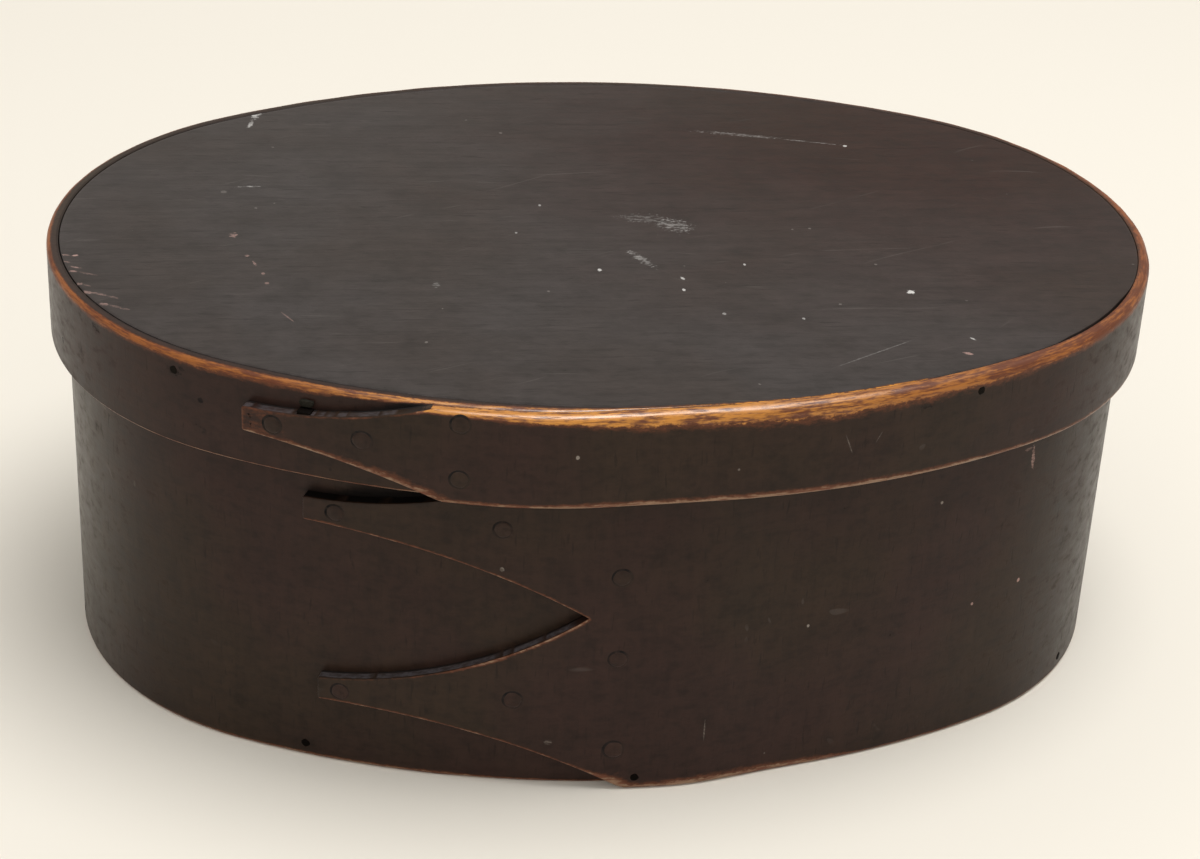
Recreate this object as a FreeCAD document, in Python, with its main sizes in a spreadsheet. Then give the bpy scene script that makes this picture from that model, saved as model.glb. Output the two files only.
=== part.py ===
"""Oval bentwood box with a lift-off lid: bent bands with swallowtail laps, tacks, boards and pegs.

Frame: millimetres, +Z up, origin at the centre of the bottom board's underside. The long axis is X, and
both laps face -Y, with their fingers pointing to -X.
"""
import FreeCAD
import Part
import Sketcher

import math
import os

Vector = FreeCAD.Vector
UP = Vector(0, 0, 1)

SIZES = [
    # the box
    ("box_length", 237.4, "outside length of the box, where its band is one layer"),
    ("box_width", 156.0, "outside width of the box, where its band is one layer"),
    ("box_height", 88.2, "height of the box band"),
    ("oval_inset", 13.0, "how much smaller an oval's end radius is than half its width"),
    ("box_band_thickness", 2.6, "thickness of the bent box band"),
    ("box_board_thickness", 6.4, "thickness of the bottom board"),
    # the lid
    ("lid_band_height", 20.8, "height of the lid band"),
    ("lid_band_thickness", 2.6, "thickness of the bent lid band"),
    ("lid_board_thickness", 7.0, "thickness of the lid board"),
    ("lid_end_clearance", 1.2, "gap from the box band to the lid band at the two ends"),
    ("lid_lap_clearance", 2.7, "gap from the box's lap to the lid band at the middle of the front"),
    ("rim_round", 1.8, "worn round on the outer top edge of the lid band"),
    ("foot_round", 0.8, "worn round on the outer bottom edge of the box band"),
    # fits
    ("lap_gap", 0.1, "gap between the two layers of a lap"),
    ("board_clearance", 0.25, "gap between a board's edge and its band"),
    ("tack_clearance", 0.03, "gap around a tack's head, shank and tail"),
    ("peg_clearance", 0.03, "gap around a peg"),
    # scarf: the band's inner end thins out under the lap
    ("scarf_tip_thickness", 0.3, "thickness left at the inner end of a band"),
    ("box_scarf_start", 4.0, "X where the box band's inner end starts to thin"),
    ("box_scarf_end", 40.0, "X of the box band's inner end"),
    ("lid_scarf_start", -30.0, "X where the lid band's inner end starts to thin"),
    ("lid_scarf_end", 14.0, "X of the lid band's inner end"),
    # fingers
    ("finger_curve_radius", 116.0, "radius of the curved edges of every finger"),
    ("finger_tip_width", 5.4, "width of a finger at its square tip"),
    ("upper_finger_reach", 67.2, "distance of the box's upper fingertip from the middle"),
    ("upper_finger_height", 64.1, "height of the box's upper fingertip, at its centre"),
    ("lower_finger_reach", 64.5, "distance of the box's lower fingertip from the middle"),
    ("lower_finger_height", 20.2, "height of the box's lower fingertip, at its centre"),
    ("notch_reach", 9.6, "distance of the point between the box's fingers from the middle"),
    ("notch_height", 43.7, "height of the point between the box's fingers"),
    ("lap_edge_reach", 0.5, "distance from the middle where the fingers' outer edges leave the band"),
    ("lid_finger_reach", 78.9, "distance of the lid's fingertip from the middle"),
    ("lid_finger_rise", 11.8, "height of the lid's fingertip centre above the lid band's lower edge"),
    ("lid_upper_edge_reach", 42.4, "distance from the middle where the lid finger's upper edge ends"),
    ("lid_lower_edge_reach", 40.3, "distance from the middle where the lid finger's lower edge ends"),
    # tacks
    ("tack_head_radius", 2.0, "radius of a tack's head"),
    ("tack_crown_radius", 1.2, "radius of the flattened top of a tack's head"),
    ("tack_head_height", 0.7, "height of a tack's head"),
    ("tack_seat_depth", 0.45, "how deep a tack's head is driven into the wood"),
    ("tack_shank_side", 1.4, "side of a tack's square shank"),
    ("tack_tail_length", 3.4, "length of a tack's clinched tail"),
    ("tack_tail_thickness", 0.5, "thickness of a tack's clinched tail"),
    ("upper_tack_inset", 6.4, "distance of the tack in the box's upper fingertip from the tip"),
    ("lower_tack_inset", 4.6, "distance of the tack in the box's lower fingertip from the tip"),
    ("lid_tack_inset", 6.0, "distance of the tack in the lid's fingertip from the tip"),
    ("upper_mid_tack_reach", 27.6, "distance of the upper finger's middle tack from the middle"),
    ("lower_mid_tack_reach", 24.5, "distance of the lower finger's middle tack from the middle"),
    ("mid_tack_spread", 20.8, "height of the box fingers' middle tacks above or below the notch"),
    ("tack_column_reach", 3.2, "distance of the box's column of tacks from the middle"),
    ("column_inner_spread", 10.0, "height of the column's inner tacks above or below the notch"),
    ("column_edge_inset", 10.6, "distance of the column's outer tacks from the band's upper and lower edges"),
    ("lid_mid_tack_reach", 55.6, "distance of the lid finger's middle tack from the middle"),
    ("lid_column_reach", 36.9, "distance of the lid's pair of tacks from the middle"),
    ("lid_column_spread", 6.2, "height of the lid's pair of tacks above or below its fingertip"),
    # pegs
    ("peg_radius", 1.1, "radius of a peg"),
    ("peg_board_depth", 9.0, "how far a peg enters the edge of its board"),
    ("peg_proud", 0.15, "how far a peg stands out of the band"),
    ("loose_peg_proud", 0.9, "how far the one loosened lid peg stands out of the band"),
    ("box_peg_height", 3.2, "height of the pegs of the bottom board"),
    ("lid_peg_drop", 4.0, "depth of the lid board's pegs below the top of the lid"),
    # tools that only cut
    ("cut_margin", 3.0, "how far a cutting solid runs past what it cuts"),
]

# Pegs: the arc of the oval that each stands on, its angle in degrees from the middle of that arc,
# counted anticlockwise from above, and how many layers of band it passes.
BOX_PEGS = [
    ("front", -21.9, 1),
    ("front", 0.5, 2),
    ("right", -37.0, 1),
    ("right", 34.0, 1),
    ("back", -16.0, 1),
    ("back", 5.0, 1),
    ("left", -58.0, 1),
    ("left", 8.0, 1),
]
LID_PEGS = [
    ("front", -22.7, 1),
    ("front", 23.7, 1),
    ("right", -6.0, 1),
    ("right", 55.0, 1),
    ("back", -8.0, 1),
    ("back", 15.0, 1),
    ("left", -22.0, 1),
    ("left", 52.8, 1),
]
LOOSE_LID_PEG = 1

doc = FreeCAD.newDocument("oval_box")
sheet = doc.addObject("Spreadsheet::Sheet", "sizes")
for row, (alias, number, meaning) in enumerate(SIZES, start=1):
    sheet.set(f"A{row}", meaning)
    sheet.set(f"B{row}", str(number))
    sheet.setAlias(f"B{row}", alias)
doc.recompute()


def size(alias):
    return float(sheet.get(alias))


class Oval:
    """Four tangent arcs: two ends, and two sides of a larger radius."""

    def __init__(self, half_length, half_width):
        self.half_length = half_length
        self.half_width = half_width
        self.end_radius = half_width - size("oval_inset")
        self.end_x = half_length - self.end_radius
        ends = self.end_x ** 2 + half_width ** 2 - self.end_radius ** 2
        self.side_radius = ends / (2 * size("oval_inset"))
        self.side_y = self.side_radius - half_width
        self.side_angle = math.degrees(math.atan2(self.end_x, self.side_y))

    def arc_middle(self, arc):
        """Centre, radius and outward direction, in degrees from +X, of one of the four arcs."""
        return {
            "front": (Vector(0, self.side_y, 0), self.side_radius, -90.0),
            "right": (Vector(self.end_x, 0, 0), self.end_radius, 0.0),
            "back": (Vector(0, -self.side_y, 0), self.side_radius, 90.0),
            "left": (Vector(-self.end_x, 0, 0), self.end_radius, 180.0),
        }[arc]

    def front_angle(self, x):
        """Angle on the front arc, from its middle, of the point at this X."""
        return math.degrees(math.asin(x / self.side_radius))

    def point(self, arc, angle, outward=0.0):
        """The point at an angle from the middle of an arc, moved outward."""
        centre, radius, middle = self.arc_middle(arc)
        turn = math.radians(middle + angle)
        return centre + Vector(math.cos(turn), math.sin(turn), 0) * (radius + outward)

    def span(self, arc, start, end, outward=0.0):
        """An edge along one arc, between two angles from its middle."""
        middle = (start + end) / 2
        ends = [self.point(arc, angle, outward) for angle in (start, middle, end)]
        return Part.Arc(*ends).toShape()


def box_oval():
    return Oval(size("box_length") / 2, size("box_width") / 2)


def lid_oval():
    """The outside of the lid band where it is one layer: it clears the box and the box's lap."""
    lap = size("box_band_thickness") + size("lap_gap")
    half_length = size("box_length") / 2 + size("lid_end_clearance") + size("lid_band_thickness")
    half_width = size("box_width") / 2 + lap + size("lid_lap_clearance") + size("lid_band_thickness")
    return Oval(half_length, half_width)


def board_oval(outer, thickness):
    """The edge of a board that fits inside a band."""
    shrink = thickness + size("board_clearance")
    return Oval(outer.half_length - shrink, outer.half_width - shrink)


def ease(share):
    """Runs from 0 to 1 with a level start and end: two parabolas, each close to a circular arc."""
    return 2 * share ** 2 if share < 0.5 else 1 - 2 * (1 - share) ** 2


def eased_edges(oval, start, end, first, last):
    """Two arcs on the front of the oval whose outward offset eases from first to last."""
    points = []
    for step in range(5):
        share = step / 4
        offset = first + (last - first) * ease(share)
        points.append(oval.point("front", start + (end - start) * share, offset))
    return [Part.Arc(*points[0:3]).toShape(), Part.Arc(*points[2:5]).toShape()]


def plan_solid(edges, bottom, height):
    """A closed outline in plan, raised to a solid."""
    face = Part.Face(Part.Wire(edges))
    face.translate(Vector(0, 0, bottom))
    return face.extrude(Vector(0, 0, height))


def straight(start, end):
    return Part.LineSegment(start, end).toShape()


def round_over(solid, plan_edges, level, radius):
    """Rounds the solid's edges that lie over these plan edges, at one level."""
    chosen = []
    for edge in solid.Edges:
        middle = edge.valueAt((edge.FirstParameter + edge.LastParameter) / 2)
        foot = Part.Vertex(middle.x, middle.y, 0)
        if abs(middle.z - level) < 0.001 and min(plan.distToShape(foot)[0] for plan in plan_edges) < 0.001:
            chosen.append(edge)
    return solid.makeFillet(radius, chosen)


class Layers:
    """The plan of a bent band: a strip all the way round, and an outer layer over its thinned inner end."""

    def __init__(self, oval, prefix, bottom, height, worn_level, worn_round):
        self.oval = oval
        self.thickness = size(f"{prefix}_band_thickness")
        self.start = oval.front_angle(size(f"{prefix}_scarf_start"))
        self.end = oval.front_angle(size(f"{prefix}_scarf_end"))
        self.under_end = self.end - math.degrees(size("lap_gap") / oval.side_radius)
        self.bottom = bottom
        self.height = height
        self.worn_level = worn_level
        self.worn_round = worn_round

    def strip(self):
        """The single layer, of full thickness and worn at one edge, and its inner end, thinned by a scarf."""
        turn = self.oval.side_angle
        end_half = 90 - turn
        outer = [
            self.oval.span("front", self.end, turn),
            self.oval.span("right", -end_half, end_half),
            self.oval.span("back", -turn, turn),
            self.oval.span("left", -end_half, end_half),
            self.oval.span("front", -turn, self.start),
        ]
        inside = -self.thickness
        inner = [
            self.oval.span("front", self.start, -turn, inside),
            self.oval.span("left", end_half, -end_half, inside),
            self.oval.span("back", turn, -turn, inside),
            self.oval.span("right", end_half, -end_half, inside),
            self.oval.span("front", turn, self.end, inside),
        ]
        ends = [self.radial(self.start, 0, inside), self.radial(self.end, inside, 0)]
        full = plan_solid(outer + ends[:1] + inner + ends[1:], self.bottom, self.height)
        full = round_over(full, outer, self.worn_level, self.worn_round)
        tip = inside + size("scarf_tip_thickness")
        scarf = eased_edges(self.oval, self.start, self.under_end, 0, tip)
        scarf.append(self.radial(self.under_end, tip, inside))
        scarf.append(self.oval.span("front", self.under_end, self.start, inside))
        scarf.append(self.radial(self.start, inside, 0))
        return full.fuse(plan_solid(scarf, self.bottom, self.height)).removeSplitter()

    def lap(self):
        """The outer layer before its fingers are cut. It eases down over the inner end at the right."""
        gap = size("lap_gap")
        cover = gap + self.thickness
        under = gap - self.thickness + size("scarf_tip_thickness")
        turn = self.oval.side_angle
        end_half = 90 - turn
        wrap = end_half / 2
        outer = [
            self.oval.span("left", wrap, end_half, cover),
            self.oval.span("front", -turn, self.start, cover),
        ]
        outer += eased_edges(self.oval, self.start, self.end, cover, 0)
        others = [self.radial(self.end, 0, under)]
        others += eased_edges(self.oval, self.end, self.start, under, gap)
        others.append(self.oval.span("front", self.start, -turn, gap))
        others.append(self.oval.span("left", end_half, wrap, gap))
        others.append(straight(self.oval.point("left", wrap, gap), self.oval.point("left", wrap, cover)))
        solid = plan_solid(outer + others, self.bottom, self.height)
        return round_over(solid, outer, self.worn_level, self.worn_round)

    def radial(self, angle, first, last):
        return straight(self.oval.point("front", angle, first), self.oval.point("front", angle, last))


def feature(name, shape):
    """A document object for a shape that Part's own functions made."""
    made = doc.addObject("Part::Feature", name)
    made.Shape = shape
    return made


def bind(target, **expressions):
    for name, expression in expressions.items():
        target.setExpression(name, expression)


def outline_sketch(name, corners, curves):
    """A closed outline on the XZ plane, seen from the front.

    corners holds ((x, z), (x expression, z expression)) for each corner. curves maps an edge's number to
    "over" or "under", the side of the edge on which its arc's centre lies. The other edges are straight.
    """
    sketch = doc.addObject("Sketcher::SketchObject", name)
    sketch.Placement = FreeCAD.Placement(Vector(0, 0, 0), FreeCAD.Rotation(Vector(1, 0, 0), 90))
    radius = size("finger_curve_radius")
    joins = []
    for number, (place, _) in enumerate(corners):
        here = Vector(place[0], place[1], 0)
        following = corners[(number + 1) % len(corners)][0]
        there = Vector(following[0], following[1], 0)
        if number in curves:
            edge, start_first = curve_between(here, there, radius, curves[number])
            joins.append((1, 2) if start_first else (2, 1))
        else:
            edge = Part.LineSegment(here, there)
            joins.append((1, 2))
        sketch.addGeometry(edge, False)
    for number, (place, expressions) in enumerate(corners):
        before = (number - 1) % len(corners)
        start = joins[number][0]
        sketch.addConstraint(Sketcher.Constraint("Coincident", before, joins[before][1], number, start))
        for kind, amount, expression in zip(("DistanceX", "DistanceY"), place, expressions):
            added = sketch.addConstraint(Sketcher.Constraint(kind, -1, 1, number, start, amount))
            sketch.setExpression(f"Constraints[{added}]", expression)
    for number in curves:
        added = sketch.addConstraint(Sketcher.Constraint("Radius", number, radius))
        sketch.setExpression(f"Constraints[{added}]", "sizes.finger_curve_radius")
    return sketch


def curve_between(here, there, radius, side):
    """The short arc between two points, and whether it starts at the first of them."""
    chord = there - here
    across = Vector(-chord.y, chord.x, 0).normalize()
    if (across.y > 0) != (side == "over"):
        across = across * -1
    middle = (here + there) / 2
    centre = middle + across * math.sqrt(radius ** 2 - (chord.Length / 2) ** 2)
    left_of_chord = chord.cross(centre - here).z > 0
    first, last = (here, there) if left_of_chord else (there, here)
    angles = [math.atan2(point.y - centre.y, point.x - centre.x) for point in (first, last)]
    if angles[1] < angles[0]:
        angles[1] += 2 * math.pi
    return Part.ArcOfCircle(Part.Circle(centre, UP, radius), *angles), left_of_chord


def fingertip(reach, centre, centre_height):
    """The two corners of a finger's square tip, the upper one first."""
    half = "sizes.finger_tip_width / 2"
    half_width = size("finger_tip_width") / 2
    return [
        ((-size(reach), centre_height + half_width), (f"-sizes.{reach}", f"{centre} + {half}")),
        ((-size(reach), centre_height - half_width), (f"-sizes.{reach}", f"{centre} - {half}")),
    ]


def box_finger_outline():
    """Everything the box's outer layer keeps: two fingers and the whole height to the right of them."""
    margin = size("cut_margin")
    height = size("box_height")
    right = size("box_length") / 2
    edge = -size("lap_edge_reach")
    over_top = "sizes.box_height + sizes.cut_margin"
    corners = [
        ((right, -margin), ("sizes.box_length / 2", "-sizes.cut_margin")),
        ((right, height + margin), ("sizes.box_length / 2", over_top)),
        ((edge, height + margin), ("-sizes.lap_edge_reach", over_top)),
        ((edge, height), ("-sizes.lap_edge_reach", "sizes.box_height")),
        *fingertip("upper_finger_reach", "sizes.upper_finger_height", size("upper_finger_height")),
        ((-size("notch_reach"), size("notch_height")), ("-sizes.notch_reach", "sizes.notch_height")),
        *fingertip("lower_finger_reach", "sizes.lower_finger_height", size("lower_finger_height")),
        ((edge, 0), ("-sizes.lap_edge_reach", "0")),
        ((edge, -margin), ("-sizes.lap_edge_reach", "-sizes.cut_margin")),
    ]
    return outline_sketch("box_finger_outline", corners, {3: "over", 5: "under", 6: "over", 8: "under"})


def lid_finger_outline():
    """Everything the lid's outer layer keeps: one finger and the whole height to the right of it."""
    margin = size("cut_margin")
    bottom = lid_bottom()
    top = lid_top()
    right = size("box_length") / 2
    upper = -size("lid_upper_edge_reach")
    lower = -size("lid_lower_edge_reach")
    over_top = f"{LID_TOP} + sizes.cut_margin"
    under_bottom = f"{LID_BOTTOM} - sizes.cut_margin"
    tip_height = bottom + size("lid_finger_rise")
    corners = [
        ((right, bottom - margin), ("sizes.box_length / 2", under_bottom)),
        ((right, top + margin), ("sizes.box_length / 2", over_top)),
        ((upper, top + margin), ("-sizes.lid_upper_edge_reach", over_top)),
        ((upper, top), ("-sizes.lid_upper_edge_reach", LID_TOP)),
        *fingertip("lid_finger_reach", f"{LID_BOTTOM} + sizes.lid_finger_rise", tip_height),
        ((lower, bottom), ("-sizes.lid_lower_edge_reach", LID_BOTTOM)),
        ((lower, bottom - margin), ("-sizes.lid_lower_edge_reach", under_bottom)),
    ]
    return outline_sketch("lid_finger_outline", corners, {3: "over", 5: "under"})


LID_TOP = "sizes.box_height + sizes.lid_board_thickness"
LID_BOTTOM = "sizes.box_height + sizes.lid_board_thickness - sizes.lid_band_height"


def lid_top():
    return size("box_height") + size("lid_board_thickness")


def lid_bottom():
    return lid_top() - size("lid_band_height")


def band(name, strip, lap, outline, pockets):
    """A bent band in one piece: its strip, its lap cut to fingers, and the pockets of its tacks and pegs."""
    prism = doc.addObject("Part::Extrusion", f"{name}_finger_prism")
    prism.Base = outline
    prism.DirMode = "Custom"
    prism.Dir = Vector(0, -1, 0)
    prism.Solid = True
    bind(prism, LengthFwd="sizes.box_width")
    fingers = doc.addObject("Part::Common", f"{name}_fingers")
    fingers.Base = lap
    fingers.Tool = prism
    whole = doc.addObject("Part::Fuse", f"{name}_whole")
    whole.Base = strip
    whole.Tool = fingers
    whole.Refine = True
    return cut(name, whole, pockets)


def cut(name, base, pockets):
    """The base less its pockets, as the node of that name."""
    tool = doc.addObject("Part::MultiFuse", f"{name}_pockets")
    tool.Shapes = pockets
    made = doc.addObject("Part::Cut", name)
    made.Base = base
    made.Tool = tool
    made.Label = name
    return made


def outward_placement(oval, arc, angle, outward, height):
    """A frame on the wall at this height: local Z points out of the band, and local X runs along it."""
    point = oval.point(arc, angle, outward)
    direction = oval.point(arc, angle, 1.0) - oval.point(arc, angle)
    along = direction.cross(UP)
    rotation = FreeCAD.Rotation(along, UP, direction, "ZXY")
    return FreeCAD.Placement(Vector(point.x, point.y, height), rotation)


def fused(name, pieces, placement):
    """Pieces that share one local frame, joined and put in place."""
    made = doc.addObject("Part::MultiFuse", name)
    made.Shapes = pieces
    made.Placement = placement
    made.Label = name
    return made


def tack(name, thickness, placement, room=None):
    """A square-shanked tack through two layers, clinched inside; with room it is the pocket for that tack.

    The local frame has Z outward and its origin on the outer face of the lap. thickness is the alias of the
    band's thickness, and room the alias of the clearance.
    """
    gap = f"sizes.{room}" if room else "0"
    reach = "sizes.cut_margin" if room else "0"
    through = f"(2 * sizes.{thickness} + sizes.lap_gap)"
    seat = "sizes.tack_seat_depth"
    side = f"(sizes.tack_shank_side + 2 * {gap})"
    tail = "sizes.tack_tail_thickness"
    if room:
        head = doc.addObject("Part::Cylinder", f"{name}_head")
        bind(head, Radius=f"sizes.tack_head_radius + {gap}", Height=f"{seat} + {reach}")
    else:
        head = doc.addObject("Part::Cone", f"{name}_head")
        bind(head, Radius1="sizes.tack_head_radius", Radius2="sizes.tack_crown_radius")
        bind(head, Height="sizes.tack_head_height")
    head.setExpression("Placement.Base.z", f"-{seat}")
    shank = doc.addObject("Part::Box", f"{name}_shank")
    bind(shank, Length=side, Width=side, Height=f"{through} - {seat}")
    shank.setExpression("Placement.Base.x", f"-{side} / 2")
    shank.setExpression("Placement.Base.y", f"-{side} / 2")
    shank.setExpression("Placement.Base.z", f"-{through}")
    clinch = doc.addObject("Part::Box", f"{name}_tail")
    bind(clinch, Length=f"sizes.tack_tail_length + 2 * {gap}", Width=side, Height=f"{tail} + {reach}")
    clinch.setExpression("Placement.Base.x", f"-{side} / 2")
    clinch.setExpression("Placement.Base.y", f"-{side} / 2")
    clinch.setExpression("Placement.Base.z", f"-{through} - {reach}")
    return fused(name, [head, shank, clinch], placement)


def peg(name, layers, thickness, proud, placement, room=None):
    """A round wooden peg through the band into its board; with room it is the hole for that peg."""
    gap = f"sizes.{room}" if room else "0"
    wood = f"({layers} * sizes.{thickness} + {layers - 1} * sizes.lap_gap)"
    inside = f"({wood} + sizes.board_clearance + sizes.peg_board_depth + {gap})"
    outward = "sizes.cut_margin" if room else f"sizes.{proud}"
    made = doc.addObject("Part::Cylinder", name)
    bind(made, Radius=f"sizes.peg_radius + {gap}", Height=f"{inside} + {outward}")
    depth = size("peg_board_depth") + size("board_clearance") + layers * size(thickness)
    depth += (layers - 1) * size("lap_gap") + (size(room) if room else 0)
    made.Placement = placement.multiply(FreeCAD.Placement(Vector(0, 0, -depth), FreeCAD.Rotation()))
    made.Label = name
    return made


def all_tacks(prefix, oval, thickness, places):
    """Every tack of one band, and their pockets."""
    cover = size(thickness) + size("lap_gap")
    tacks = []
    pockets = []
    for number, (x, z) in enumerate(places, start=1):
        placement = outward_placement(oval, "front", oval.front_angle(x), cover, z)
        tacks.append(tack(f"{prefix}_tack_{number}", thickness, placement))
        pockets.append(tack(f"{prefix}_tack_{number}_pocket", thickness, placement, "tack_clearance"))
    return tacks, pockets


def all_pegs(prefix, oval, thickness, places, height, loose=None):
    """Every peg of one band and its board, and their holes."""
    pegs = []
    holes = []
    for number, (arc, angle, layers) in enumerate(places, start=1):
        cover = (layers - 1) * (size(thickness) + size("lap_gap"))
        placement = outward_placement(oval, arc, angle, cover, height)
        proud = "loose_peg_proud" if number == loose else "peg_proud"
        pegs.append(peg(f"{prefix}_peg_{number}", layers, thickness, proud, placement))
        holes.append(peg(f"{prefix}_peg_{number}_hole", layers, thickness, proud, placement, "peg_clearance"))
    return pegs, holes


def board_body(name, half_length, half_width, thickness, bottom, oval):
    """An oval board: a padded sketch of four tangent arcs, bound to the sheet."""
    body = doc.addObject("PartDesign::Body", f"{name}_body")
    sketch = body.newObject("Sketcher::SketchObject", f"{name}_outline")
    plane = [item for item in body.Origin.OriginFeatures if item.Role == "XY_Plane"][0]
    sketch.AttachmentSupport = [(plane, "")]
    sketch.MapMode = "FlatFace"
    end_half = math.radians(90 - oval.side_angle)
    side_half = math.radians(oval.side_angle)
    for arc, middle, half in (
        ("right", 0, end_half),
        ("back", 90, side_half),
        ("left", 180, end_half),
        ("front", 270, side_half),
    ):
        centre, radius, _ = oval.arc_middle(arc)
        circle = Part.Circle(centre, UP, radius)
        turn = math.radians(middle)
        sketch.addGeometry(Part.ArcOfCircle(circle, turn - half, turn + half), False)
    for number in range(4):
        sketch.addConstraint(Sketcher.Constraint("Tangent", number, 2, (number + 1) % 4, 1))
    end_radius = f"({half_width} - sizes.oval_inset)"
    end_x = f"({half_length} - {end_radius})"
    side_radius = f"(({end_x}^2 + ({half_width})^2 - {end_radius}^2) / (2 * sizes.oval_inset))"
    for number in (0, 2):
        sketch.addConstraint(Sketcher.Constraint("PointOnObject", number, 3, -1))
    right_centre = sketch.addConstraint(Sketcher.Constraint("DistanceX", -1, 1, 0, 3, oval.end_x))
    left_centre = sketch.addConstraint(Sketcher.Constraint("DistanceX", 2, 3, -1, 1, oval.end_x))
    for added in (right_centre, left_centre):
        sketch.setExpression(f"Constraints[{added}]", end_x)
    for number, radius, expression in (
        (0, oval.end_radius, end_radius),
        (2, oval.end_radius, end_radius),
        (1, oval.side_radius, side_radius),
        (3, oval.side_radius, side_radius),
    ):
        added = sketch.addConstraint(Sketcher.Constraint("Radius", number, radius))
        sketch.setExpression(f"Constraints[{added}]", expression)
    pad = body.newObject("PartDesign::Pad", f"{name}_pad")
    pad.Profile = sketch
    bind(pad, Length=f"sizes.{thickness}")
    body.Tip = pad
    if bottom:
        body.setExpression("Placement.Base.z", bottom)
    return body


def box_pieces():
    """The box: its band, its bottom board, and what fastens them."""
    oval = box_oval()
    thickness = size("box_band_thickness")
    layers = Layers(oval, "box", 0, size("box_height"), 0, size("foot_round"))
    strip = feature("box_strip", layers.strip())
    lap = feature("box_lap_blank", layers.lap())
    notch = size("notch_height")
    upper = size("upper_finger_height")
    lower = size("lower_finger_height")
    mid_spread = size("mid_tack_spread")
    column = -size("tack_column_reach")
    places = [
        (size("upper_tack_inset") - size("upper_finger_reach"), upper),
        (size("lower_tack_inset") - size("lower_finger_reach"), lower),
        (-size("upper_mid_tack_reach"), notch + mid_spread),
        (-size("lower_mid_tack_reach"), notch - mid_spread),
        (column, size("box_height") - size("column_edge_inset")),
        (column, notch + size("column_inner_spread")),
        (column, notch - size("column_inner_spread")),
        (column, size("column_edge_inset")),
    ]
    tacks, tack_pockets = all_tacks("box", oval, "box_band_thickness", places)
    pegs, peg_holes = all_pegs("box", oval, "box_band_thickness", BOX_PEGS, size("box_peg_height"))
    box_band = band("box_band", strip, lap, box_finger_outline(), tack_pockets + peg_holes)
    shrink = "sizes.box_band_thickness - sizes.board_clearance"
    inside = board_oval(oval, thickness)
    half_length = f"(sizes.box_length / 2 - {shrink})"
    half_width = f"(sizes.box_width / 2 - {shrink})"
    body = board_body("box_bottom", half_length, half_width, "box_board_thickness", None, inside)
    box_bottom = cut("box_bottom", body, peg_holes)
    return [box_band, box_bottom] + tacks + pegs


def lid_pieces():
    """The lid: its band, its board, and what fastens them."""
    oval = lid_oval()
    thickness = size("lid_band_thickness")
    bottom = lid_bottom()
    layers = Layers(oval, "lid", bottom, size("lid_band_height"), lid_top(), size("rim_round"))
    strip = feature("lid_strip", layers.strip())
    lap = feature("lid_lap_blank", layers.lap())
    tip_height = bottom + size("lid_finger_rise")
    spread = size("lid_column_spread")
    places = [
        (size("lid_tack_inset") - size("lid_finger_reach"), tip_height),
        (-size("lid_mid_tack_reach"), tip_height),
        (-size("lid_column_reach"), tip_height + spread),
        (-size("lid_column_reach"), tip_height - spread),
    ]
    tacks, tack_pockets = all_tacks("lid", oval, "lid_band_thickness", places)
    peg_height = lid_top() - size("lid_peg_drop")
    pegs, peg_holes = all_pegs("lid", oval, "lid_band_thickness", LID_PEGS, peg_height, LOOSE_LID_PEG)
    lid_band = band("lid_band", strip, lap, lid_finger_outline(), tack_pockets + peg_holes)
    inside = board_oval(oval, thickness)
    half_length = "(sizes.box_length / 2 + sizes.lid_end_clearance - sizes.board_clearance)"
    half_width = ("(sizes.box_width / 2 + sizes.box_band_thickness + sizes.lap_gap"
                  " + sizes.lid_lap_clearance - sizes.board_clearance)")
    body = board_body("lid_top", half_length, half_width, "lid_board_thickness", "sizes.box_height", inside)
    lid_board = cut("lid_top", body, peg_holes)
    return [lid_band, lid_board] + tacks + pegs


nodes = box_pieces() + lid_pieces()
doc.recompute()

for item in doc.Objects:
    if "Invalid" in item.State or "Error" in item.State:
        raise RuntimeError(f"{item.Name} failed: {item.State}")
for node in nodes:
    if node.Shape.isNull() or not node.Shape.isValid() or len(node.Shape.Solids) != 1:
        raise RuntimeError(f"{node.Label} is not one valid solid")

os.makedirs("parts", exist_ok=True)
for node in nodes:
    node.Shape.exportStep(f"parts/{node.Label}.step")
    corners = node.Shape.BoundBox
    print(f"{node.Label}: {node.Shape.Volume:.1f} mm3, {corners}")
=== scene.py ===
"""Old painted oval box: bent bands with swallowtail laps, pegged boards, tacks, and a lid that lifts off.

Frame: metres, +Z up, origin at the centre of the bottom board's underside. Lengths inside the builders are
in millimetres, and each mesh is scaled once when it is finished.
"""

import math
from functools import partial
from types import SimpleNamespace

import bmesh
import bpy
from bpy.props import FloatProperty, FloatVectorProperty, PointerProperty
from mathutils import Matrix, Vector, kdtree, noise


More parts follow.
